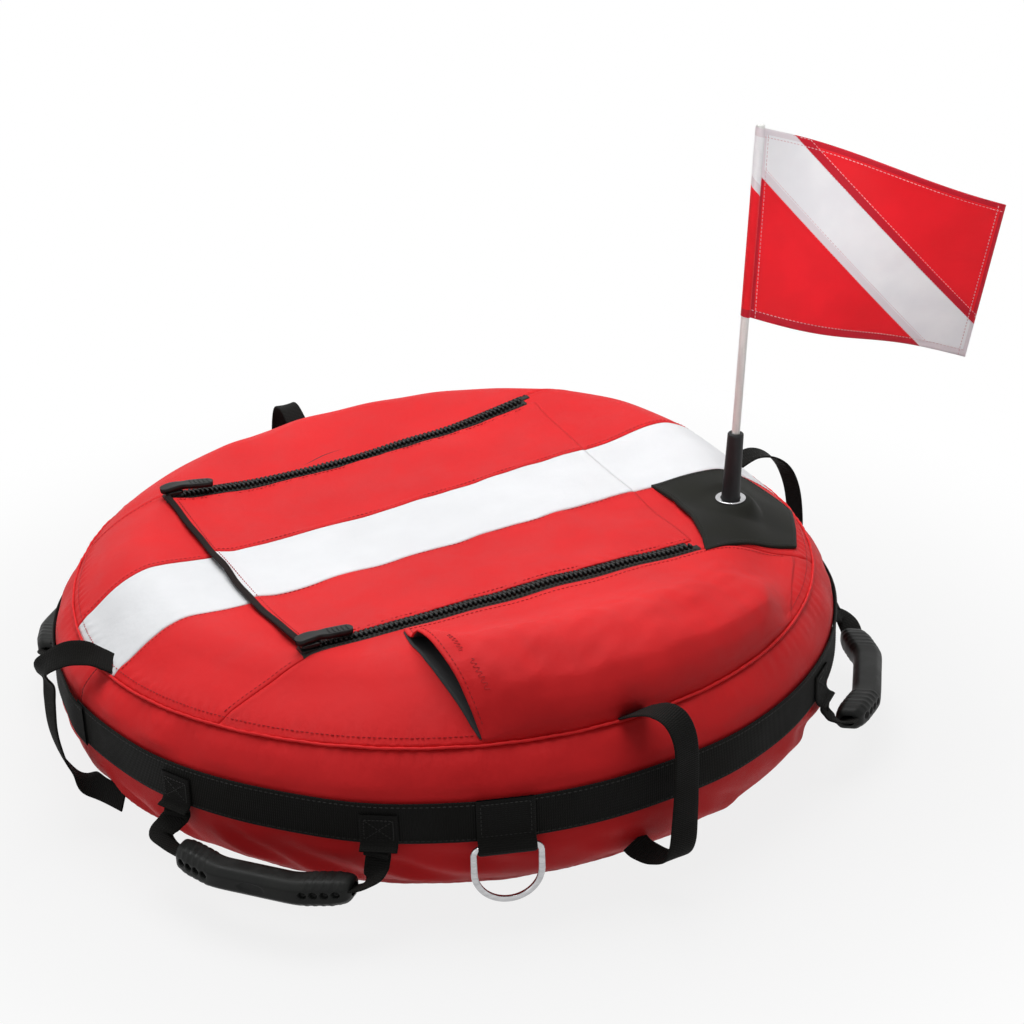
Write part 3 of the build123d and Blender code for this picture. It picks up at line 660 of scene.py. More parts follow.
def rubber_feeds(start):
    grain = start.cloud(0.0016, 3, 0.6).relief(0.0002, strength=0.4)
    chalk = start.cloud(0.06, 4, 0.6)
    return skin(chalk, (0.010, 0.010, 0.011), (0.022, 0.022, 0.024), (0.48, 0.62), grain, 0.35, 0.75)


tube_rubber = finish("tube_rubber", rubber_feeds, {"Specular IOR Level": 0.4})
t = np.linspace(0, 2 * pi, 57)
section_r = TUBE_R + TUBE_HALF * np.sign(np.cos(t)) * abs(np.cos(t)) ** 0.66
section_z = TUBE_MID + TUBE_TALL * np.sign(np.sin(t)) * abs(np.sin(t)) ** 0.76
a, r = np.meshgrid(turn[::2], section_r, indexing="ij")
x, y = r * np.cos(a), r * np.sin(a)
inside = np.minimum(r, SEAM_R - 2)
z = np.minimum(np.broadcast_to(section_z, r.shape), crown(inside * np.cos(a), inside * np.sin(a)) - 4)
tube = grid_piece("tube", np.stack([x, y, z], 2), wrap=True)
sew(tube, "float", "tube_rubber", tube_rubber, "inner_tube")

# The belt: 40 mm black woven webbing around the wall, sewn along both edges, with
# its ends lapped at the wall's seam. Everything that hangs outside is sewn to it.
WEB_T = 2.2


def flow(points, step=3.0):
    """A smooth line through the points, with even steps, in millimetres."""
    p = np.asarray(points, float)
    p = np.vstack([2 * p[0] - p[1], p, 2 * p[-1] - p[-2]])
    out = []
    for i in range(1, len(p) - 2):
        count = max(3, int(np.linalg.norm(p[i + 1] - p[i]) / step * 3))
        t = np.linspace(0, 1, count, endpoint=False)[:, None]
        a, b, c, d = p[i - 1], p[i], p[i + 1], p[i + 2]
        square, cube = 2 * a - 5 * b + 4 * c - d, 3 * b - a - 3 * c + d
        out.append(0.5 * (2 * b + (c - a) * t + square * t ** 2 + cube * t ** 3))
    line = np.vstack(out + [p[-2][None]])
    along = run_length(line)
    return sample(np.linspace(0, along[-1], max(4, int(along[-1] / step))), along, line)


def ribbon(name, line, side, wide, thick=WEB_T, bow=0.0):
    """A webbing strip along a line; side is the way across it, and bow lifts its middle."""
    line = np.asarray(line, float)
    side = np.broadcast_to(np.asarray(side, float), line.shape)
    ahead = unit(np.gradient(line, axis=0))
    side = unit(side - (side * ahead).sum(1)[:, None] * ahead)
    face = np.cross(side, ahead)
    edge = np.array([0, 0.02, 0.06, 0.2, 0.4, 0.6, 0.8, 0.94, 0.98, 1.0]) - 0.5
    body = np.array([0, 0.7, 1, 0.94, 1, 0.94, 1, 1, 0.7, 0]) * thick / 2
    u = np.concatenate([edge, edge[-2:0:-1], edge[:1]])[:, None]
    w = np.concatenate([body, -body[-2:0:-1], body[:1]])[:, None]
    wide, bow = (np.broadcast_to(value, (len(line),))[:, None, None] for value in (wide, bow))
    points = line[:, None] + side[:, None] * u * wide + face[:, None] * (w + bow * (1 - 4 * u ** 2))
    return grid_piece(name, points)


def webbing_look(name, dark, light):
    def feeds(start):
        u, v = start.cloth_way()
        rows = u.wave(0.0021)
        ribs = v.wave(0.0030)
        fuzz = start.cloud(0.0012, 2, 0.6)
        dust = start.cloud(0.07, 3, 0.5)
        height = rows * 0.6 + ribs * rows * 0.5 + fuzz * 0.6
        return {
            # The colour is partly dust and partly the weave's height, lighter on the raised threads:
            # painted shade in the weave's grooves.
            "Base Color": (dust * 0.6 + height * 0.15).ramp(0.2, 0.6).dye(dark, light),
            "Roughness": dust.ramp(0.3, 0.7, 0.66, 0.82),
            "Normal": height.relief(0.0005, strength=0.7),
        }

    return finish(name, feeds, {"Specular IOR Level": 0.10, "Sheen Weight": 0.02, "Sheen Roughness": 0.5})


webbing = webbing_look("webbing", (0.0030, 0.0029, 0.0025), (0.0085, 0.0080, 0.0068))
black_thread = thread_look("black_thread", (0.004, 0.004, 0.0035), (0.012, 0.0115, 0.010))


def belt_spot(turn, high):
    """A point of the belt's outer face at an angle, that far up from its middle."""
    lap = smooth(np.degrees(turn), 175, 183.5) * 2.6
    radius = BELT_R + WEB_T / 2 + 1.6 + lap + 0.5 * np.sin(turn * 17) * np.sin(turn * 5 + 1)
    drift = 0.8 * np.sin(turn * 7) + 0.6 * np.sin(turn * 13 + 2)
    up = (BELT_TOP + BELT_LOW) / 2 + drift + high
    return np.stack([radius * np.cos(turn), radius * np.sin(turn), up], -1)


turn = np.radians(np.linspace(-176.2, 186.5, 480))
belt = ribbon("belt_webbing", belt_spot(turn, 0.0), (0, 0, 1), BELT_TOP - BELT_LOW)
sew(belt, "float", "webbing", webbing, "belt")
outward = np.stack([np.cos(turn), np.sin(turn), 0 * turn], 1)
for high, word in ((17.2, "upper"), (-17.2, "lower")):
    line = belt_spot(turn, high) + outward * (WEB_T / 2)
    stitches(f"belt_row_{word}", "float", "webbing", black_thread, line, outward, long=3.4, gap=1.6)

# Four hand loops of 25 mm webbing: each is folded under the piped seam, hangs
# clear over the belt, turns back under and is sewn in below it.

# Name, angle, width, turn of the lower end onto its edge, then radius, height and shift
# along the wall of the points it goes through
LOOPS = {
    "left": (180, 25, 1, [
        (356, 163, 43), (368, 172, 41), (382, 180, 36), (398, 180, 27), (412, 172, 17), (421, 162, 9),
        (420, 152, 6), (415, 143, 6), (417, 126, 9), (419, 104, 15), (418, 86, 23), (414, 70, 33),
        (405, 57, 46), (393, 50, 60), (384, 47, 74), (377, 45, 86),
    ]),
    "near": (-87, 28, 0, [
        (360, 167, -8), (372, 175, -9), (387, 185, -8), (404, 192, -2), (419, 187, 5), (428, 166, 9),
        (429, 125, 9), (427, 90, 9), (425, 62, 8), (418, 47, 5), (404, 42, -3), (390, 44, -11),
        (381, 49, -15),
    ]),
    "right": (1, 25, 0, [
        (360, 168, 29), (373, 177, 28), (390, 184, 25), (406, 181, 18), (418, 169, 8), (424, 148, 0),
        (426, 118, -5), (425, 88, -7), (418, 60, -7), (400, 38, -4), (376, 27, -2), (354, 19, 0),
    ]),
    "far": (91, 25, 0, [
        (360, 170, 0), (378, 184, 0), (398, 193, 0), (415, 188, 0), (426, 168, 0), (430, 138, 1),
        (430, 106, 2), (427, 74, 2), (418, 48, 1), (400, 34, 0), (374, 26, 0), (354, 19, 0),
    ]),
}


def around(angle, out, high, shift):
    """Points outward, up and along the wall from an angle."""
    turn = np.radians(angle)
    x = out * np.cos(turn) - shift * np.sin(turn)
    y = out * np.sin(turn) + shift * np.cos(turn)
    return np.stack([x, y, high], -1)


for name, (angle, wide, swing, stops) in LOOPS.items():
    route = flow(stops, 2.5)
    line = around(angle, route[:, 0], route[:, 1], route[:, 2])
    t = np.linspace(0, 1, len(line))
    twist = np.radians(angle + 8 * np.sin(t * 5) + 3)
    rolled = 0.06 * np.sin(t * 9) - 0.8 * swing * smooth(0.34 - t, 0, 0.2)
    side = np.stack([-np.sin(twist), np.cos(twist), rolled], 1)
    edge_on = swing * smooth(t, 0.76, 0.92)[:, None]
    outward = np.array([cos(radians(angle)), sin(radians(angle)), 0])
    side = side * (1 - edge_on) + edge_on * (0.35 * outward - (0, 0, 1))
    loop = ribbon(f"hand_loop_{name}", line, side, wide, bow=1.0 * np.sin(t * pi * 2))
    sew(loop, "float", "webbing", webbing, f"loop_{name}")

# The lid: a red, white and red flap sewn down at its right end, zipped along both
# sides and bound with dark tape at its free left end, which curls up a little.
LID_Y = 178.0
LID_Z = 2.4


def lid_lift(x, y):
    """How far the lid stands above the cover's top, more along its free end."""
    free = smooth(-x, 196, 227)
    sewn = smooth(x, lid_end(y) - 30, lid_end(y))
    curl = 4.2 + 1.4 * np.sin(y / 33 + 0.8) + 0.8 * np.sin(y / 14)
    return LID_Z + curl * free - (LID_Z - 1.3) * sewn


def lid_panel(name, y0, y1, look, slot):
    """A panel of the lid between two lines of y, puckered along the zips."""
    ys = np.linspace(y0, y1, max(10, int((y1 - y0) / 1.9)))
    t, y = np.meshgrid(np.linspace(0, 1, 118), ys, indexing="ij")
    x = LID_X0 + 4 + (lid_end(y) - LID_X0 - 4) * t
    high = lid_lift(x, y) + 0.5 * ripples(x, y, 55, 61) * smooth(lid_end(y) - x, 0, 60)
    high = high + seam_dip(abs(y - STRIPE_Y)) + seam_dip(abs(y + STRIPE_Y))
    high = high - 0.7 * smooth(np.abs(y), LID_Y - 4, LID_Y) - 0.9 * bell(x - lid_end(y), 2.2)
    pucker = np.sin(x * 2 * pi / 15 + 2 * ripples(x, y, 50, 62))
    high = high + 0.6 * bell(np.abs(y) - LID_Y + 8, 6) * pucker
    piece = grid_piece(name + "_cloth", on_top(x, y, high), thick=1.6)
    return sew(piece, "lid", slot, look, name)


lid_panel("lid_far", STRIPE_Y, LID_Y, red_cloth, "cover_red")
lid_panel("lid_stripe", -STRIPE_Y, STRIPE_Y, white_cloth, "stripe_white")
lid_panel("lid_near", -LID_Y, -STRIPE_Y, red_cloth, "cover_red")

ys = np.linspace(-LID_Y - 2, LID_Y + 2, 190)
edge_x = LID_X0 + 4 + 1.0 * np.sin(ys / 38) + 0.5 * np.sin(ys / 11)
edge_line = on_top(edge_x, ys, lid_lift(edge_x, ys) - 0.7)
binding = ribbon("lid_binding_tape", edge_line, (1, 0, 0.1), 6.2, 3.0)
brown_tape = webbing_look("binding_tape", (0.008, 0.005, 0.005), (0.022, 0.013, 0.012))
sew(binding, "lid", "webbing", brown_tape, "lid_binding")
for side, word in ((1, "far"), (-1, "near")):
    xs = np.linspace(LID_X0 + 12, lid_end(side * (STRIPE_Y + 4)) - 5, 200)
    for row, y, high in (("row", STRIPE_Y + 4, 0.4), ("zip_row", LID_Y - 4.5, -0.1)):
        line = on_top(xs, side * y, lid_lift(xs, side * y) + high)
        stitches(f"lid_{row}_{word}", "lid", "cover_red", red_thread, line, (0, 0, 1))
ys = np.linspace(-LID_Y, LID_Y, 160)
edge_x = LID_X0 + 10.5
line = on_top(edge_x, ys, lid_lift(edge_x, ys) + 0.3)
stitches("lid_edge_row", "lid", "cover_red", red_thread, line, (0, 0, 1))

hinge_line = on_top(lid_end(ys) - 5, ys, -0.9)
hinge_tape = ribbon("lid_hinge_tape", hinge_line, (1, 0, 0), 11, 0.8)
sew(hinge_tape, "float", "webbing", webbing, "lid_seam")

# Two moulded zips, one along each side of the lid: woven black tapes, a row of
# plastic teeth on each, and a slider with a long moulded pull at the left end.
ZIP_X0 = LID_X0 + 15
TAPE_W = 14.0
TOOTH_PITCH = 5.0


def tape_feeds(start):
    u, v = start.cloth_way()
    twill = (u + v).wave(0.0016).relief(0.0003, strength=0.6)
    dust = start.cloud(0.03, 3, 0.6)
    return skin(dust, (0.010, 0.0098, 0.0085), (0.024, 0.0235, 0.020), (0.6, 0.75), twill)


def plastic_feeds(start):
    grain = start.cloud(0.0009, 2, 0.6).relief(0.0001, strength=0.3)
    wear = start.cloud(0.018, 4, 0.65)
    return skin(wear, (0.006, 0.006, 0.006), (0.015, 0.015, 0.014), (0.32, 0.48), grain, 0.4, 0.75)


zip_tape = finish("zip_tape", tape_feeds, {"Specular IOR Level": 0.3})
zip_plastic = finish("zip_plastic", plastic_feeds, {"Specular IOR Level": 0.2})


def zip_height(x, y):
    """Height of a zip's tape: open between the two cloths' edges, and tucked under both."""
    q = np.abs(y)
    open_part = smooth(q, LID_Y - 1, LID_Y + 2.5) * smooth(PANEL_Y - q, -1, 2.5)
    return crown(x, y) - 1.5 + open_part * 2.5 + 0.8 * smooth(ZIP_Y - q, 4, 10) * open_part


def box_rows(name, centres, halves):
    """Small bevelled blocks in one mesh: centres and half sizes in millimetres."""
    cut = 0.72
    ring = [(-1, -cut), (-cut, -1), (cut, -1), (1, -cut), (1, cut), (cut, 1), (-cut, 1), (-1, cut)]
    levels = [(1, 1, -1), (1, 1, 0.55), (0.72, 0.8, 1)]
    corners = np.array([(x * a, y * b, c) for a, b, c in levels for x, y in ring])
    faces = [
        (level + i, level + (i + 1) % 8, level + 8 + (i + 1) % 8, level + 8 + i)
        for level in (0, 8) for i in range(8)
    ]
    faces += [tuple(range(16, 24)), tuple(range(7, -1, -1))]
    points = np.asarray(centres, float)[:, None] + corners * np.reshape(halves, (-1, 1, 3))
    polygons = [tuple(24 * k + i for i in face) for k in range(len(points)) for face in faces]
    return block_mesh(name, points.reshape(-1, 3), polygons)


# The slider's blocks, each by its centre and half size: two plates, a bridge and the pull's root
SLIDER = np.array([
    ((0, 0, 1.2), (10, 7.4, 1.6)), ((0, 0, 6.4), (9.6, 7.2, 1.5)),
    ((-4, 0, 3.8), (3.4, 2.4, 2.6)), ((1, 0, 8.6), (7.0, 2.4, 1.6)),
])
PULL = np.array([(-13, 0, 9.6), (0, 0, 11.4), (14, -0.5, 10.6), (30, -1.5, 9.0), (43, -2.5, 7.6)])
for side, word in ((1, "far"), (-1, "near")):
    for part, body, away in (("fixed", "float", 1), ("lid", "lid", -1)):
        # The lid's half stops shorter of the hinge, as its end dips while the lid opens
        end = float(lid_end(side * ZIP_Y)) - (4 if part == "fixed" else 12)
        label = f"zip_{word}_{part}"
        xs = np.linspace(ZIP_X0 - 14, end + 3, 160)
        x, off = np.meshgrid(xs, np.linspace(0.5, TAPE_W, 11), indexing="ij")
        y = side * (ZIP_Y + away * off)
        z = zip_height(x, y) + 0.2 * np.sin(x / 9) * off / 12
        tape = grid_piece(label + "_tape", np.stack([x, y, z], 2), thick=0.8, flip=side * away < 0)
        sew(tape, body, "zip_black", zip_tape, label)
        count = int((end - ZIP_X0) / TOOTH_PITCH)
        x = ZIP_X0 + TOOTH_PITCH * (np.arange(count) + (0.5 if part == "lid" else 0))
        y = side * (ZIP_Y + away * 2.0) + 0 * x
        centres = np.stack([x, y, zip_height(x, y) + 1.5], 1)
        teeth = box_rows(label + "_teeth", centres, (TOOTH_PITCH * 0.25, 3.4, 1.9))
        sew(teeth, body, "zip_black", zip_plastic)
        y = side * (ZIP_Y + away * 8.0) + 0 * xs
        line = np.stack([xs, y, zip_height(xs, y) + 0.3], 1)
        stitches(label + "_row", body, "zip_black", black_thread, line, (0, 0, 1))

    place = on_top(ZIP_X0 - 4, side * ZIP_Y, 0.8)
    slider = box_rows(f"slider_{word}_body", place + SLIDER[:, 0], SLIDER[:, 1])
    sew(slider, "lid", "zip_black", zip_plastic, f"slider_{word}")
    line = flow(place + PULL * (1, side, 1), 1.5)
    t = np.linspace(0, 1, len(line))
    rounded = np.sqrt(np.clip(1 - np.abs(2 * t - 1) ** 14, 0.05, 1))
    pull = ribbon(f"slider_{word}_pull", line, (0, 1, 0), (13.5 - 3.0 * bell(t - 0.42, 0.1)) * rounded, 5.6)
    sew(pull, "lid", "zip_black", zip_plastic)
    spots = [line[int(len(line) * k)] + (0, 0, 2.6) for k in (0.58, 0.66, 0.74, 0.82, 0.90)]
    ribs = box_rows(f"slider_{word}_ribs", spots, (1.1, 4.6, 0.9))
    sew(ribs, "lid", "zip_black", zip_plastic)

# The side pocket: a second layer of red cloth, sewn along the zip and at the seam, with black sheets under
# its mouth for its lining and as painted shade of its inside. Its mouth stands open at the left, with two
# bar tacks beside it.
POCKET_Y0 = -202.5
POCKET_END = 286.0
POCKET_LIFT = 30.0
MOUTH_LIFT = 22.0
# The mouth: share of the way from the zip side to the seam, x, and how much it stands open
MOUTH = np.array([
    (0, -131, 0.02), (0.12, -135, 0.08), (0.23, -138, 0.25), (0.29, -139, 0.60),
    (0.35, -139, 0.90), (0.48, -139, 1.08), (0.60, -137, 1.15), (0.72, -134, 1.15),
    (0.82, -131, 1.0), (0.92, -128, 0.65), (1.0, -124, 0.0),
])


def pocket_points(t, u, low=0.0):
    """The pocket's cloth, or a layer under it: t from the zip to the seam, u from the mouth on."""
    begin = np.interp(t, MOUTH[:, 0], MOUTH[:, 1])
    x = begin + (POCKET_END - 60 * t ** 2 - begin) * u
    outer = -np.sqrt(np.clip((SEAM_R - 0.5) ** 2 - x ** 2, 0, None))
    y = POCKET_Y0 + (outer - POCKET_Y0) * t
    gape = np.interp(t, MOUTH[:, 0], MOUTH[:, 2])
    body = smooth(t, 0.18, 0.90) * np.sqrt(1 - np.clip((t - 0.88) / 0.12, 0, 1) ** 2)
    full = smooth(1 - u, 0, 0.14) * (1 - 0.10 * smooth(u, 0.1, 0.4)) * smooth(-outer, 266, 318)
    mix = smooth(u, 0.0, 0.12)
    rise = gape * (1 - mix) + body * mix
    z = crown(x, y) + 2.0 + MOUTH_LIFT * gape * (1 - mix) + POCKET_LIFT * body * full * mix
    waves = 1.4 * ripples(x, y, 70, 71) + 0.5 * ripples(x, y, 26, 72)
    z = z + waves * smooth(rise, 0, 0.5) * smooth(1 - u, 0, 0.2)
    folds = 2.2 * bell(u - 0.06 - 0.10 * t, 0.03) - 1.8 * bell(u - 0.13 - 0.16 * t, 0.035)
    z = z + folds * rise - 1.2 * bell(t - 0.93, 0.03) * smooth(u, 0, 0.1)
    return np.stack([x, y, z - low], -1)


t, u = np.meshgrid(np.linspace(0, 1, 104), np.linspace(0, 1, 150), indexing="ij")
pocket = grid_piece("pocket_cloth", pocket_points(t, u), thick=1.3)
sew(pocket, "float", "cover_red", red_cloth, "pocket")
# Black sheets under the mouth, below the pocket cloth and on the cover's top: the black lining, and painted
# shade of the pocket's inside.
t, u = np.meshgrid(np.linspace(0.03, 0.985, 64), np.linspace(0.004, 0.34, 40), indexing="ij")
under = grid_piece("pocket_mouth_shade_upper", pocket_points(t, u, 1.7), thick=0.5)
sew(under, "float", "bottom_fabric", black_cloth)
base = pocket_points(t, u - 0.007)
base[..., 2] = np.minimum(crown(base[..., 0], base[..., 1]) + 1.3, base[..., 2] - 1.7)
lower = grid_piece("pocket_mouth_shade_lower", base, thick=0.5)
sew(lower, "float", "bottom_fabric", black_cloth)
hem = pocket_points(np.linspace(0.01, 0.97, 160), 0.013, -0.2)
stitches("pocket_mouth_row", "float", "cover_red", red_thread, hem, (0, -0.3, 1))
edge = pocket_points(0.035, np.linspace(0.01, 0.98, 260), -0.2)
stitches("pocket_zip_row", "float", "cover_red", red_thread, edge, (0, 0, 1))
for k, (share, reach) in enumerate([(0.50, 0.045), (0.72, 0.05)]):
    zigzag = reach + 0.006 * np.sign(np.sin(np.linspace(0, 40, 60)))
    line = pocket_points(np.linspace(share, share + 0.16, 60), zigzag, -0.3)
    stitches(
        f"pocket_tack_{k}", "float", "cover_red", red_thread, line, (0, -0.4, 1),
        long=3.0, gap=0.3, wide=0.6, tall=0.2,
    )

# The mast's foot: a neoprene patch over the shoulder, a steel eyelet pressed
# through it, and a rubber tube that grips the pole.
MAST_X, MAST_Y = 262.0, -126.0
MAST_LEAN, MAST_TOWARDS = 3.3, -22.0
# The patch's left and right edges, from its upper end to its lower end: share, x and y
PATCH_LEFT = np.array([
    (0, 211, -57), (0.25, 213, -98), (0.5, 208, -139), (0.77, 196, -181), (1, 185, -206),
])
PATCH_RIGHT = np.array([
    (0, 300, -62), (0.12, 322, -68), (0.3, 341, -85), (0.5, 354, -99), (0.75, 325, -150), (1, 302, -186),
])
# The rubber tube, thinner towards its open end: height over the foot and radius
SOCKET = np.array([
    (-1.5, 9.4), (6, 9.3), (25, 8.8), (50, 8.3), (68, 8.0),
    (70.6, 7.9), (71.6, 7.2), (71.8, 5.2), (69, 4.2), (60, 4.1),
])
lean, lean_way = radians(MAST_LEAN), radians(MAST_TOWARDS)
mast_dir = np.array([sin(lean) * cos(lean_way), sin(lean) * sin(lean_way), cos(lean)])
mast_foot = np.array([MAST_X, MAST_Y, TOP_Z + 3.2])


def neoprene_feeds(start):
    nap = start.cloud(0.0011, 3, 0.7).relief(0.0003, strength=0.6)
    shade = start.cloud(0.05, 3, 0.5)
    return skin(shade, (0.0055, 0.0057, 0.0042), (0.012, 0.0122, 0.0092), (0.66, 0.8), nap)


neoprene = finish(
    "neoprene", neoprene_feeds, {"Specular IOR Level": 0.12, "Sheen Weight": 0.03, "Sheen Roughness": 0.5}
)


def patch_points(t, u):
    """The patch's cloth: t from its upper end to its lower end, u from its left edge to its right."""
    left = sample(t, PATCH_LEFT[:, 0], PATCH_LEFT[:, 1:])
    right = sample(t, PATCH_RIGHT[:, 0], PATCH_RIGHT[:, 1:])
    flat = left + (right - left) * np.asarray(u)[..., None]
    x, y = flat[..., 0], flat[..., 1]
    curl = 3.0 * bell(u, 0.07) * np.sin(pi * np.clip(t, 0, 1))
    z = crown(x, y) + 3.3 + curl + 0.5 * ripples(x, y, 60, 81)
    foot = smooth(34 - np.hypot(x - MAST_X, y - MAST_Y), 0, 16)
    z = z * (1 - foot) + foot * (TOP_Z + 3.1)
    return np.stack([x, y, z], -1)


t, u = np.meshgrid(np.linspace(0, 1, 64), np.linspace(0, 1, 56), indexing="ij")
patch = grid_piece("mast_patch_cloth", patch_points(t, u), thick=3.0)
sew(patch, "float", "neoprene", neoprene, "mast_patch")


def walk(corners, steps):
    """Points along straight lines from corner to corner, with that many on each."""
    counts = np.broadcast_to(steps, (len(corners) - 1,))
    return np.vstack([np.linspace(*ends) for ends in zip(corners, corners[1:], counts)])


border = walk([(0.03, 0.035), (0.03, 0.965), (0.97, 0.965), (0.97, 0.035), (0.03, 0.035)], (60, 80, 60, 80))
line = patch_points(*border.T) + (0, 0, 0.1)
stitches("patch_row", "float", "neoprene", black_thread, line, (0.2, -0.2, 1), long=3.0, gap=1.5)


def steel_feeds(start):
    marks = start.cloud(0.02, 5, 0.7, (1, 1, 6))
    scratches = marks.relief(0.0002, strength=0.2)
    return skin(marks, (0.44, 0.44, 0.45), (0.56, 0.56, 0.57), (0.14, 0.26), scratches)


bright_steel = finish("bright_steel", steel_feeds, {"Metallic": 1.0})
socket_rubber = finish("socket_rubber", rubber_feeds, {"Specular IOR Level": 0.25})


def rod_feeds(start):
    fibres = start.cloud(0.004, 3, 0.6, (1, 1, 0.04))
    grain = fibres.relief(0.0002, strength=0.3)
    return skin(fibres, (0.70, 0.70, 0.68), (0.80, 0.80, 0.78), (0.25, 0.36), grain)


def dress(node, look):
    """Gives its finish to a piece that is kept as it was drawn."""
    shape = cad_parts[node].data
    shape.materials.clear()
    shape.materials.append(look)


glass_fibre = finish("glass_fibre", rod_feeds, {"Coat Roughness": 0.2})
dress("mast_eyelet", bright_steel)
dress("mast_pole", glass_fibre)
turn = np.linspace(0, 2 * pi, 41)[:, None, None]
plan = unit(np.cross(mast_dir, (0, 1.0, 0)))
across = np.cross(mast_dir, plan)
up, wide = SOCKET.T[..., None]
circle = plan * np.cos(turn) + across * np.sin(turn)
socket = grid_piece("mast_socket_tube", mast_foot + up * mast_dir + wide * circle)
sew(socket, "float", "socket_rubber", socket_rubber, "mast_socket")

# The dive flag: thin red cloth with a white band from the hoist's top to the
# fly's foot, hemmed all round, with a sleeve at the hoist that fits the pole.
FLAG_H, FLAG_L = 184.0, 250.0
FLAG_T = 0.8
HEM = 8.0
# The flag's lower edge over the mast's foot
HOIST_UP = 193.0
hoist_low = mast_foot + mast_dir * HOIST_UP
# How far the fly's upper and lower corners hang from the hoist's
FLY_TOP, FLY_LOW = np.array([211.0, -94.0, -84.0]), np.array([227.0, -48.0, -72.0])
flag_side = unit(np.cross(mast_dir, (FLY_TOP + FLY_LOW) / 2))
# The white band's two edges: shares along and up that they cut off from a corner
BAND_LOW = (0.79, 0.76)
BAND_HIGH = (0.86, 0.79)


def flag_point(along, high):
    """A point of the hanging flag, along from the pole and up from its lower edge."""
    t, h = along / FLAG_L, high / FLAG_H
    fly = FLY_LOW + (FLY_TOP - FLY_LOW) * h[..., None]
    upper = 15 * np.sin(2 * pi * t * 0.95) + 9 * np.sin(pi * t)
    lower = -11 * np.sin(2 * pi * t) - 5 * np.sin(pi * t)
    out = upper * h + lower * (1 - h)
    return hoist_low + t[..., None] * fly + out[..., None] * flag_side + high[..., None] * mast_dir


def flag_feeds(start):
    u, v = start.cloth_way()
    threads = weave(start, 0.0009)
    along = u * (1000 / FLAG_L)
    high = v * (1000 / FLAG_H)
    low_line = along * (1 / BAND_LOW[0]) + high * (1 / BAND_LOW[1]) - 1
    high_line = (1 - along) * (1 / BAND_HIGH[0]) + (1 - high) * (1 / BAND_HIGH[1]) - 1
    band = (low_line > 0) * (high_line > 0)
    folds = start.cloud(0.05, 3, 0.5)
    edge = start.math(
        "MINIMUM",
        start.math("MINIMUM", v, FLAG_H * MM - v),
        start.math("MINIMUM", u, FLAG_L * MM - u),
    )
    # The hem's width, and the same across the band's slanting edges
    slant = HEM / 118
    low_hem = (low_line > 0) * (low_line < slant)
    top_hem = (high_line < 0) * (high_line > -slant)
    hem = edge < HEM * MM
    red_hem_shaded = start.math("MAXIMUM", hem, top_hem)
    white_hem_shaded = start.math("MAXIMUM", hem, low_hem)
    # Both colours follow the folds' height, lighter on their crests: painted shade in the folds.
    red = folds.ramp(0.3, 0.7).dye((0.78, 0.006, 0.014), (0.86, 0.010, 0.020))
    white = folds.ramp(0.3, 0.7).dye((0.80, 0.80, 0.83), (0.87, 0.87, 0.89))
    # The hems darker than the single cloth, and the white band's hem pink from the red under it: painted
    # shade of light coming through two layers.
    red = (red_hem_shaded * 0.62).dye(red, (0.34, 0.006, 0.024))
    white = (white_hem_shaded * 0.55).dye(white, (0.66, 0.54, 0.58))
    return {
        "Base Color": band.dye(red, white),
        "Roughness": folds.ramp(0.3, 0.7, 0.55, 0.7),
        "Normal": threads.relief(0.0002, folds.relief(0.002, strength=0.3), 0.3),
    }


flag_cloth = finish("flag_cloth", flag_feeds, {"Specular IOR Level": 0.22, "Sheen Weight": 0.1})
pale_thread = thread_look("pale_thread", (0.60, 0.36, 0.39), (0.72, 0.52, 0.54))
along, high = np.meshgrid(np.linspace(0, FLAG_L, 110), np.linspace(0, FLAG_H, 76), indexing="ij")
flag = grid_piece("flag_cloth", flag_point(along, high), thick=FLAG_T)
sew(flag, "mast", "flag_cloth", flag_cloth, "flag")
turn, high = np.meshgrid(np.linspace(0, 2 * pi, 25), np.linspace(0, FLAG_H, 40), indexing="ij")
SLEEVE_R = 4.9
ring = SLEEVE_R * (np.cos(turn)[..., None] * unit(FLY_LOW) + np.sin(turn)[..., None] * flag_side)
sleeve = grid_piece("flag_sleeve", hoist_low + ring + high[..., None] * mast_dir)
sew(sleeve, "mast", "flag_cloth", flag_cloth)
low_a, low_b = np.array([0, BAND_LOW[1]]), np.array([BAND_LOW[0], 0])
high_a, high_b = np.array([1 - BAND_HIGH[0], 1]), np.array([1, 1 - BAND_HIGH[1]])
inset = np.array([HEM / FLAG_L, HEM / FLAG_H])
# Each row of stitches by its two ends, as shares along and up
FLAG_ROWS = [
    ((0, inset[1]), (1, inset[1])),
    ((0, 1 - inset[1]), (1, 1 - inset[1])),
    ((inset[0] * 1.2, 0), (inset[0] * 1.2, 1)),
    ((1 - inset[0], 0), (1 - inset[0], 1)),
    (low_a + (0.006, 0.006), low_b + (0.006, 0.006)),
    (low_a + (0.036, 0.036), low_b + (0.036, 0.036)),
    (high_a + (0.008, 0.008), high_b + (0.008, 0.008)),
    (high_a + (0.040, 0.040), high_b + (0.040, 0.040)),
]
for k, (first, last) in enumerate(FLAG_ROWS):
    share = np.clip(np.linspace(first, last, 160), 0.004, 0.996)
    for face, word in ((1, "back"), (-1, "front")):
        line = flag_point(share[:, 0] * FLAG_L, share[:, 1] * FLAG_H)
        line = line + flag_side * (face * (FLAG_T / 2 + 0.1) - FLAG_T / 2)
        stitches(
            f"flag_row_{k}_{word}", "mast", "flag_cloth", pale_thread, line, flag_side * face,
            long=2.6, gap=1.2, wide=0.6, tall=0.3,
        )

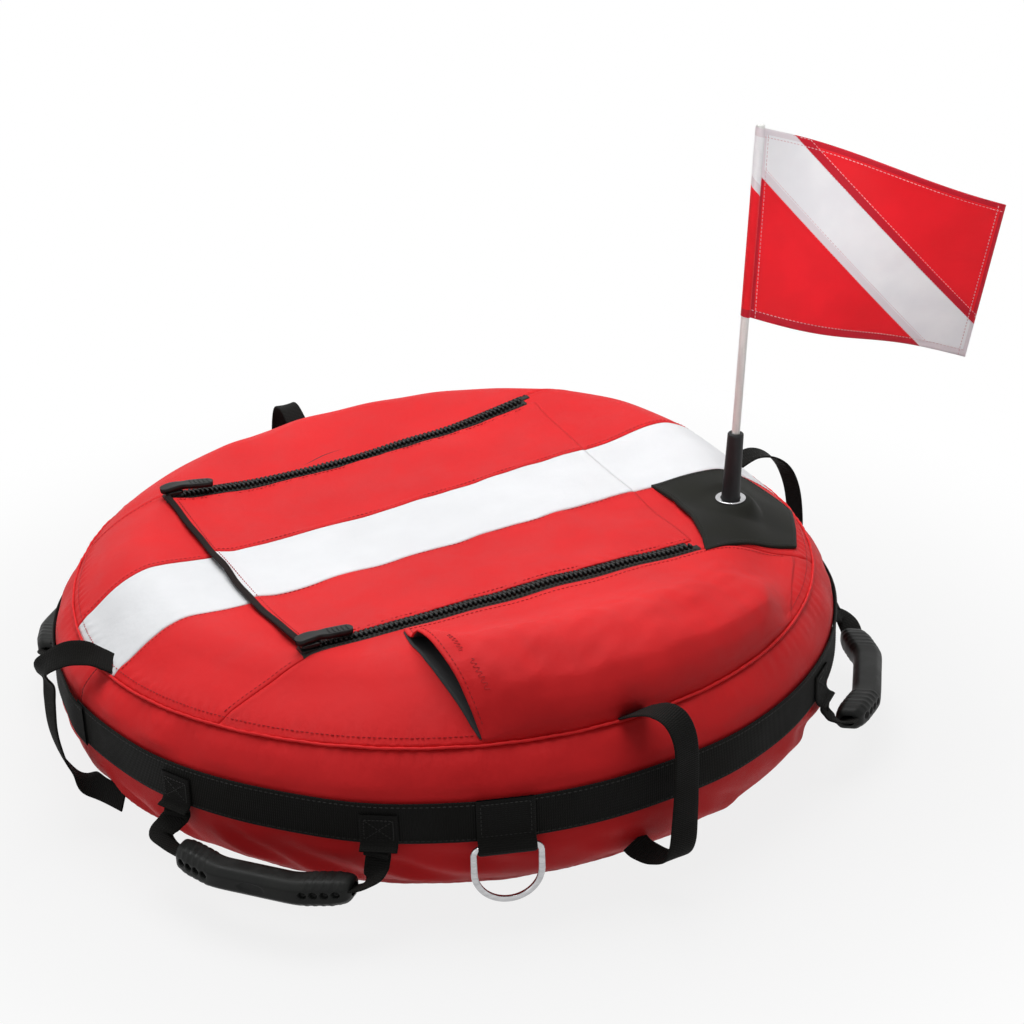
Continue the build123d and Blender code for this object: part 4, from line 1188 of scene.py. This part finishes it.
# Four moulded carrying grips: dark rubbery plastic over a length of webbing, with
# ribs and small holes near each end, hung from two tabs that are sewn to the belt.
GRIP_ANGLES = {"near_left": -138, "near_right": -36, "far_left": 138, "far_right": 36}
GRIP_SPAN, GRIP_L, GRIP_W, GRIP_H = 99.0, 172.0, 27.0, 23.0
GRIP_OUT, GRIP_DOWN, GRIP_BACK, GRIP_FLAT = 39.0, 25.0, 17.0, 76.0
GRIP_EDGE = 5.5
HOLE_R, HOLE_FIRST, HOLE_STEP = 3.0, 0.56, 0.105
TAB_Z = 82.0
BELT_FACE = BELT_R + WEB_T
AXIS_OUT = sqrt(BELT_FACE ** 2 - GRIP_SPAN ** 2) + 7.5
# One arm: outward, up and along from the hinge's axis, with the share of its swell along
ARM = np.array([
    (3, -1.5, 0, 0), (2.6, 2.2, 0, 0), (-1.2, 3.2, 0, 0), (-3.2, 0.4, 0, 0), (-2.4, -3, 0, 0),
    (0.5, -6.5, 0, 0.3), (5, -12, 0, 0.8), (13.2, -17, 0, 1), (19.8, -22, -5, 0.4),
    (23, -25, -15, 0), (26, -25, -30, 0),
])
# A grip's tab: radius and height of the points it goes through
GRIP_TAB = [
    (396.9, 119), (397.2, 112), (397.4, 104), (397.6, 96),
    (398.8, 91.6), (401.6, 88.9), (404.6, 88.2), (406.8, 86.8),
]
TACK_BOX = [(-13, 114), (13, 114), (13, 94), (-13, 94), (-13, 114), (13, 94), (13, 114), (-13, 94)]


def grip_feeds(start):
    grain = start.cloud(0.0008, 3, 0.7).relief(0.00015, strength=0.5)
    wear = start.cloud(0.02, 4, 0.6)
    return skin(wear, (0.0055, 0.006, 0.0055), (0.013, 0.0135, 0.0125), (0.40, 0.56), grain, 0.4, 0.75)


def grip_ring():
    """The grip's bevelled section, finer on its outer face."""
    w, h, e = GRIP_W / 2, GRIP_H / 2, GRIP_EDGE
    corners = np.array([
        (w, -h + e), (w, h - e), (w - e, h), (-w + e, h),
        (-w, h - e), (-w, -h + e), (-w + e, -h), (w - e, -h),
    ])
    counts = [16, 5, 8, 4, 5, 4, 8, 5]
    sides = zip(corners, np.roll(corners, -1, 0), counts)
    ring = np.vstack([np.linspace(a, b, count, endpoint=False) for a, b, count in sides])
    for _ in range(2):
        ring = (np.roll(ring, 1, 0) + 2 * ring + np.roll(ring, -1, 0)) / 4
    return np.vstack([ring, ring[:1]])


def belt_tab(name, stops, step, angle, wide, *nodes):
    """A tab of webbing that is sewn to the belt at an angle."""
    route = flow(stops, step)
    line = around(angle, route[:, 0], route[:, 1], 0)
    turned = radians(angle)
    tab = ribbon(name, line, (-sin(turned), cos(turned), 0.0), wide)
    sew(tab, "float", "webbing", webbing, *nodes)


def tab_row(name, corners, steps, angle, out, long, gap):
    """A row of stitches through a tab, from corner to corner of shift and height."""
    shift, high = walk(corners, steps).T
    line = around(angle, out + WEB_T / 2 + 0.15, high, shift)
    outward = (cos(radians(angle)), sin(radians(angle)), 0)
    stitches(name, "float", "webbing", black_thread, line, outward, long=long, gap=gap)


grip_rubber = finish("grip_rubber", grip_feeds, {"Specular IOR Level": 0.18})
for name, angle in GRIP_ANGLES.items():
    along = np.linspace(-1, 1, 230)
    ring = grip_ring()
    s = along[:, None] + 0 * ring[None, :, 0]
    end = np.sqrt(np.clip(1 - np.clip((abs(s) - 0.93) / 0.07, 0, 1) ** 2, 0, 1))
    waist = 1.05 + 0.07 * smooth(abs(s), 0.35, 0.62) - 0.16 * smooth(abs(s), 0.80, 1.0)
    out = ring[None, :, 0] * waist * (0.5 + 0.5 * end)
    up = ring[None, :, 1] * waist * (0.5 + 0.5 * end)
    face = smooth(out, 9.5, 12.5)
    hole = 0 * s
    for side in (-1, 1):
        for k in range(4):
            off = (s - side * (HOLE_FIRST + HOLE_STEP * k)) * GRIP_L / 2
            hole = hole + smooth(HOLE_R + 0.9 - np.hypot(off, up - 1.5), 0, 1.3)
    oval = smooth(1.15 - np.hypot(s * GRIP_L / 2 / 12.5, (up - 0.5) / 4.4), 0, 0.3)
    ribs = smooth(np.sin(s * 78), 0.0, 0.5) * smooth(abs(s), 0.50, 0.54) * smooth(0.93 - abs(s), 0, 0.04)
    edge_band = smooth(abs(up), 6.5, 8.5)
    out = out - face * (5.0 * np.clip(hole, 0, 1) + 1.4 * oval)
    out = out + 0.3 * ribs * edge_band * np.sign(out)
    up = up + 0.25 * ribs * edge_band * np.sign(up)
    slope = np.clip((abs(s) * GRIP_L - GRIP_FLAT) / (GRIP_L - GRIP_FLAT), -0.2, 1.1)
    bend = -GRIP_BACK * np.where(slope > 0.1, slope, (slope + 0.2) ** 2 / 0.9)
    line = around(angle, AXIS_OUT + GRIP_OUT + bend + out, TAB_Z - GRIP_DOWN + up, s * GRIP_L / 2)
    grip = grid_piece(f"grip_{name}_body", line, flip=True)
    sew(grip, f"grip_{name}", "grip_rubber", grip_rubber, f"grip_{name}")
    for turn_way, word in ((-1, "a"), (1, "b")):
        # One arm of each grip is slacker than the other
        swell = 11 if turn_way * (1 if abs(angle) > 90 else -1) < 0 else 1
        route = flow(ARM[:, :3] + ARM[:, 3:] * (0, 0, swell), 1.5)
        t = np.linspace(0, 1, len(route))
        high, shift = TAB_Z + route[:, 1], turn_way * (GRIP_SPAN + route[:, 2])
        line = around(angle, AXIS_OUT + route[:, 0], high, shift)
        turned = radians(angle)
        tangent = np.array([-sin(turned), cos(turned), 0.0])
        radial = np.array([cos(turned), sin(turned), 0.25])
        swing = smooth(t, 0.30, 0.75)[:, None]
        side = tangent * (1 - swing) * turn_way + radial * swing
        arm = ribbon(f"grip_{name}_web_{word}", line, side, 24 - 3 * smooth(t, 0.3, 0.6))
        web, tabs = ([f"grip_web_{name}"], [f"grip_tabs_{name}"]) if word == "a" else ([], [])
        sew(arm, f"grip_{name}", "webbing", webbing, *web)
        tab_angle = angle + turn_way * degrees(asin(GRIP_SPAN / BELT_FACE))
        belt_tab(f"grip_{name}_tab_{word}", GRIP_TAB, 1.2, tab_angle, 34, *tabs)
        tab_row(f"grip_{name}_tack_{word}", TACK_BOX, 12, tab_angle, 397.3, 2.6, 1.0)

# Two stainless D-rings, bent from round wire, each in a folded tab of wide
# webbing that is sewn across the belt.
RING_ANGLES = {"near": -107.5, "far": 72.5}
RING_TAB_W = 52.0
RING_TAB = [
    (397.5, 132), (397.8, 120), (398, 106), (398.6, 95), (402.2, 89),
    (404.8, 84), (402.6, 79.4), (398.2, 79.6), (395.6, 84),
]
half = RING_TAB_W / 2 - 4
RING_ROW = [(-half, 128), (half, 128), (half, 96), (-half, 96), (-half, 128)]
for name, angle in RING_ANGLES.items():
    dress(f"ring_{name}", bright_steel)
    belt_tab(f"ring_tab_{name}_webbing", RING_TAB, 1.5, angle, RING_TAB_W, f"ring_tab_{name}")
    tab_row(f"ring_tab_{name}_row", RING_ROW, 16, angle, 397.9, 3.0, 1.2)
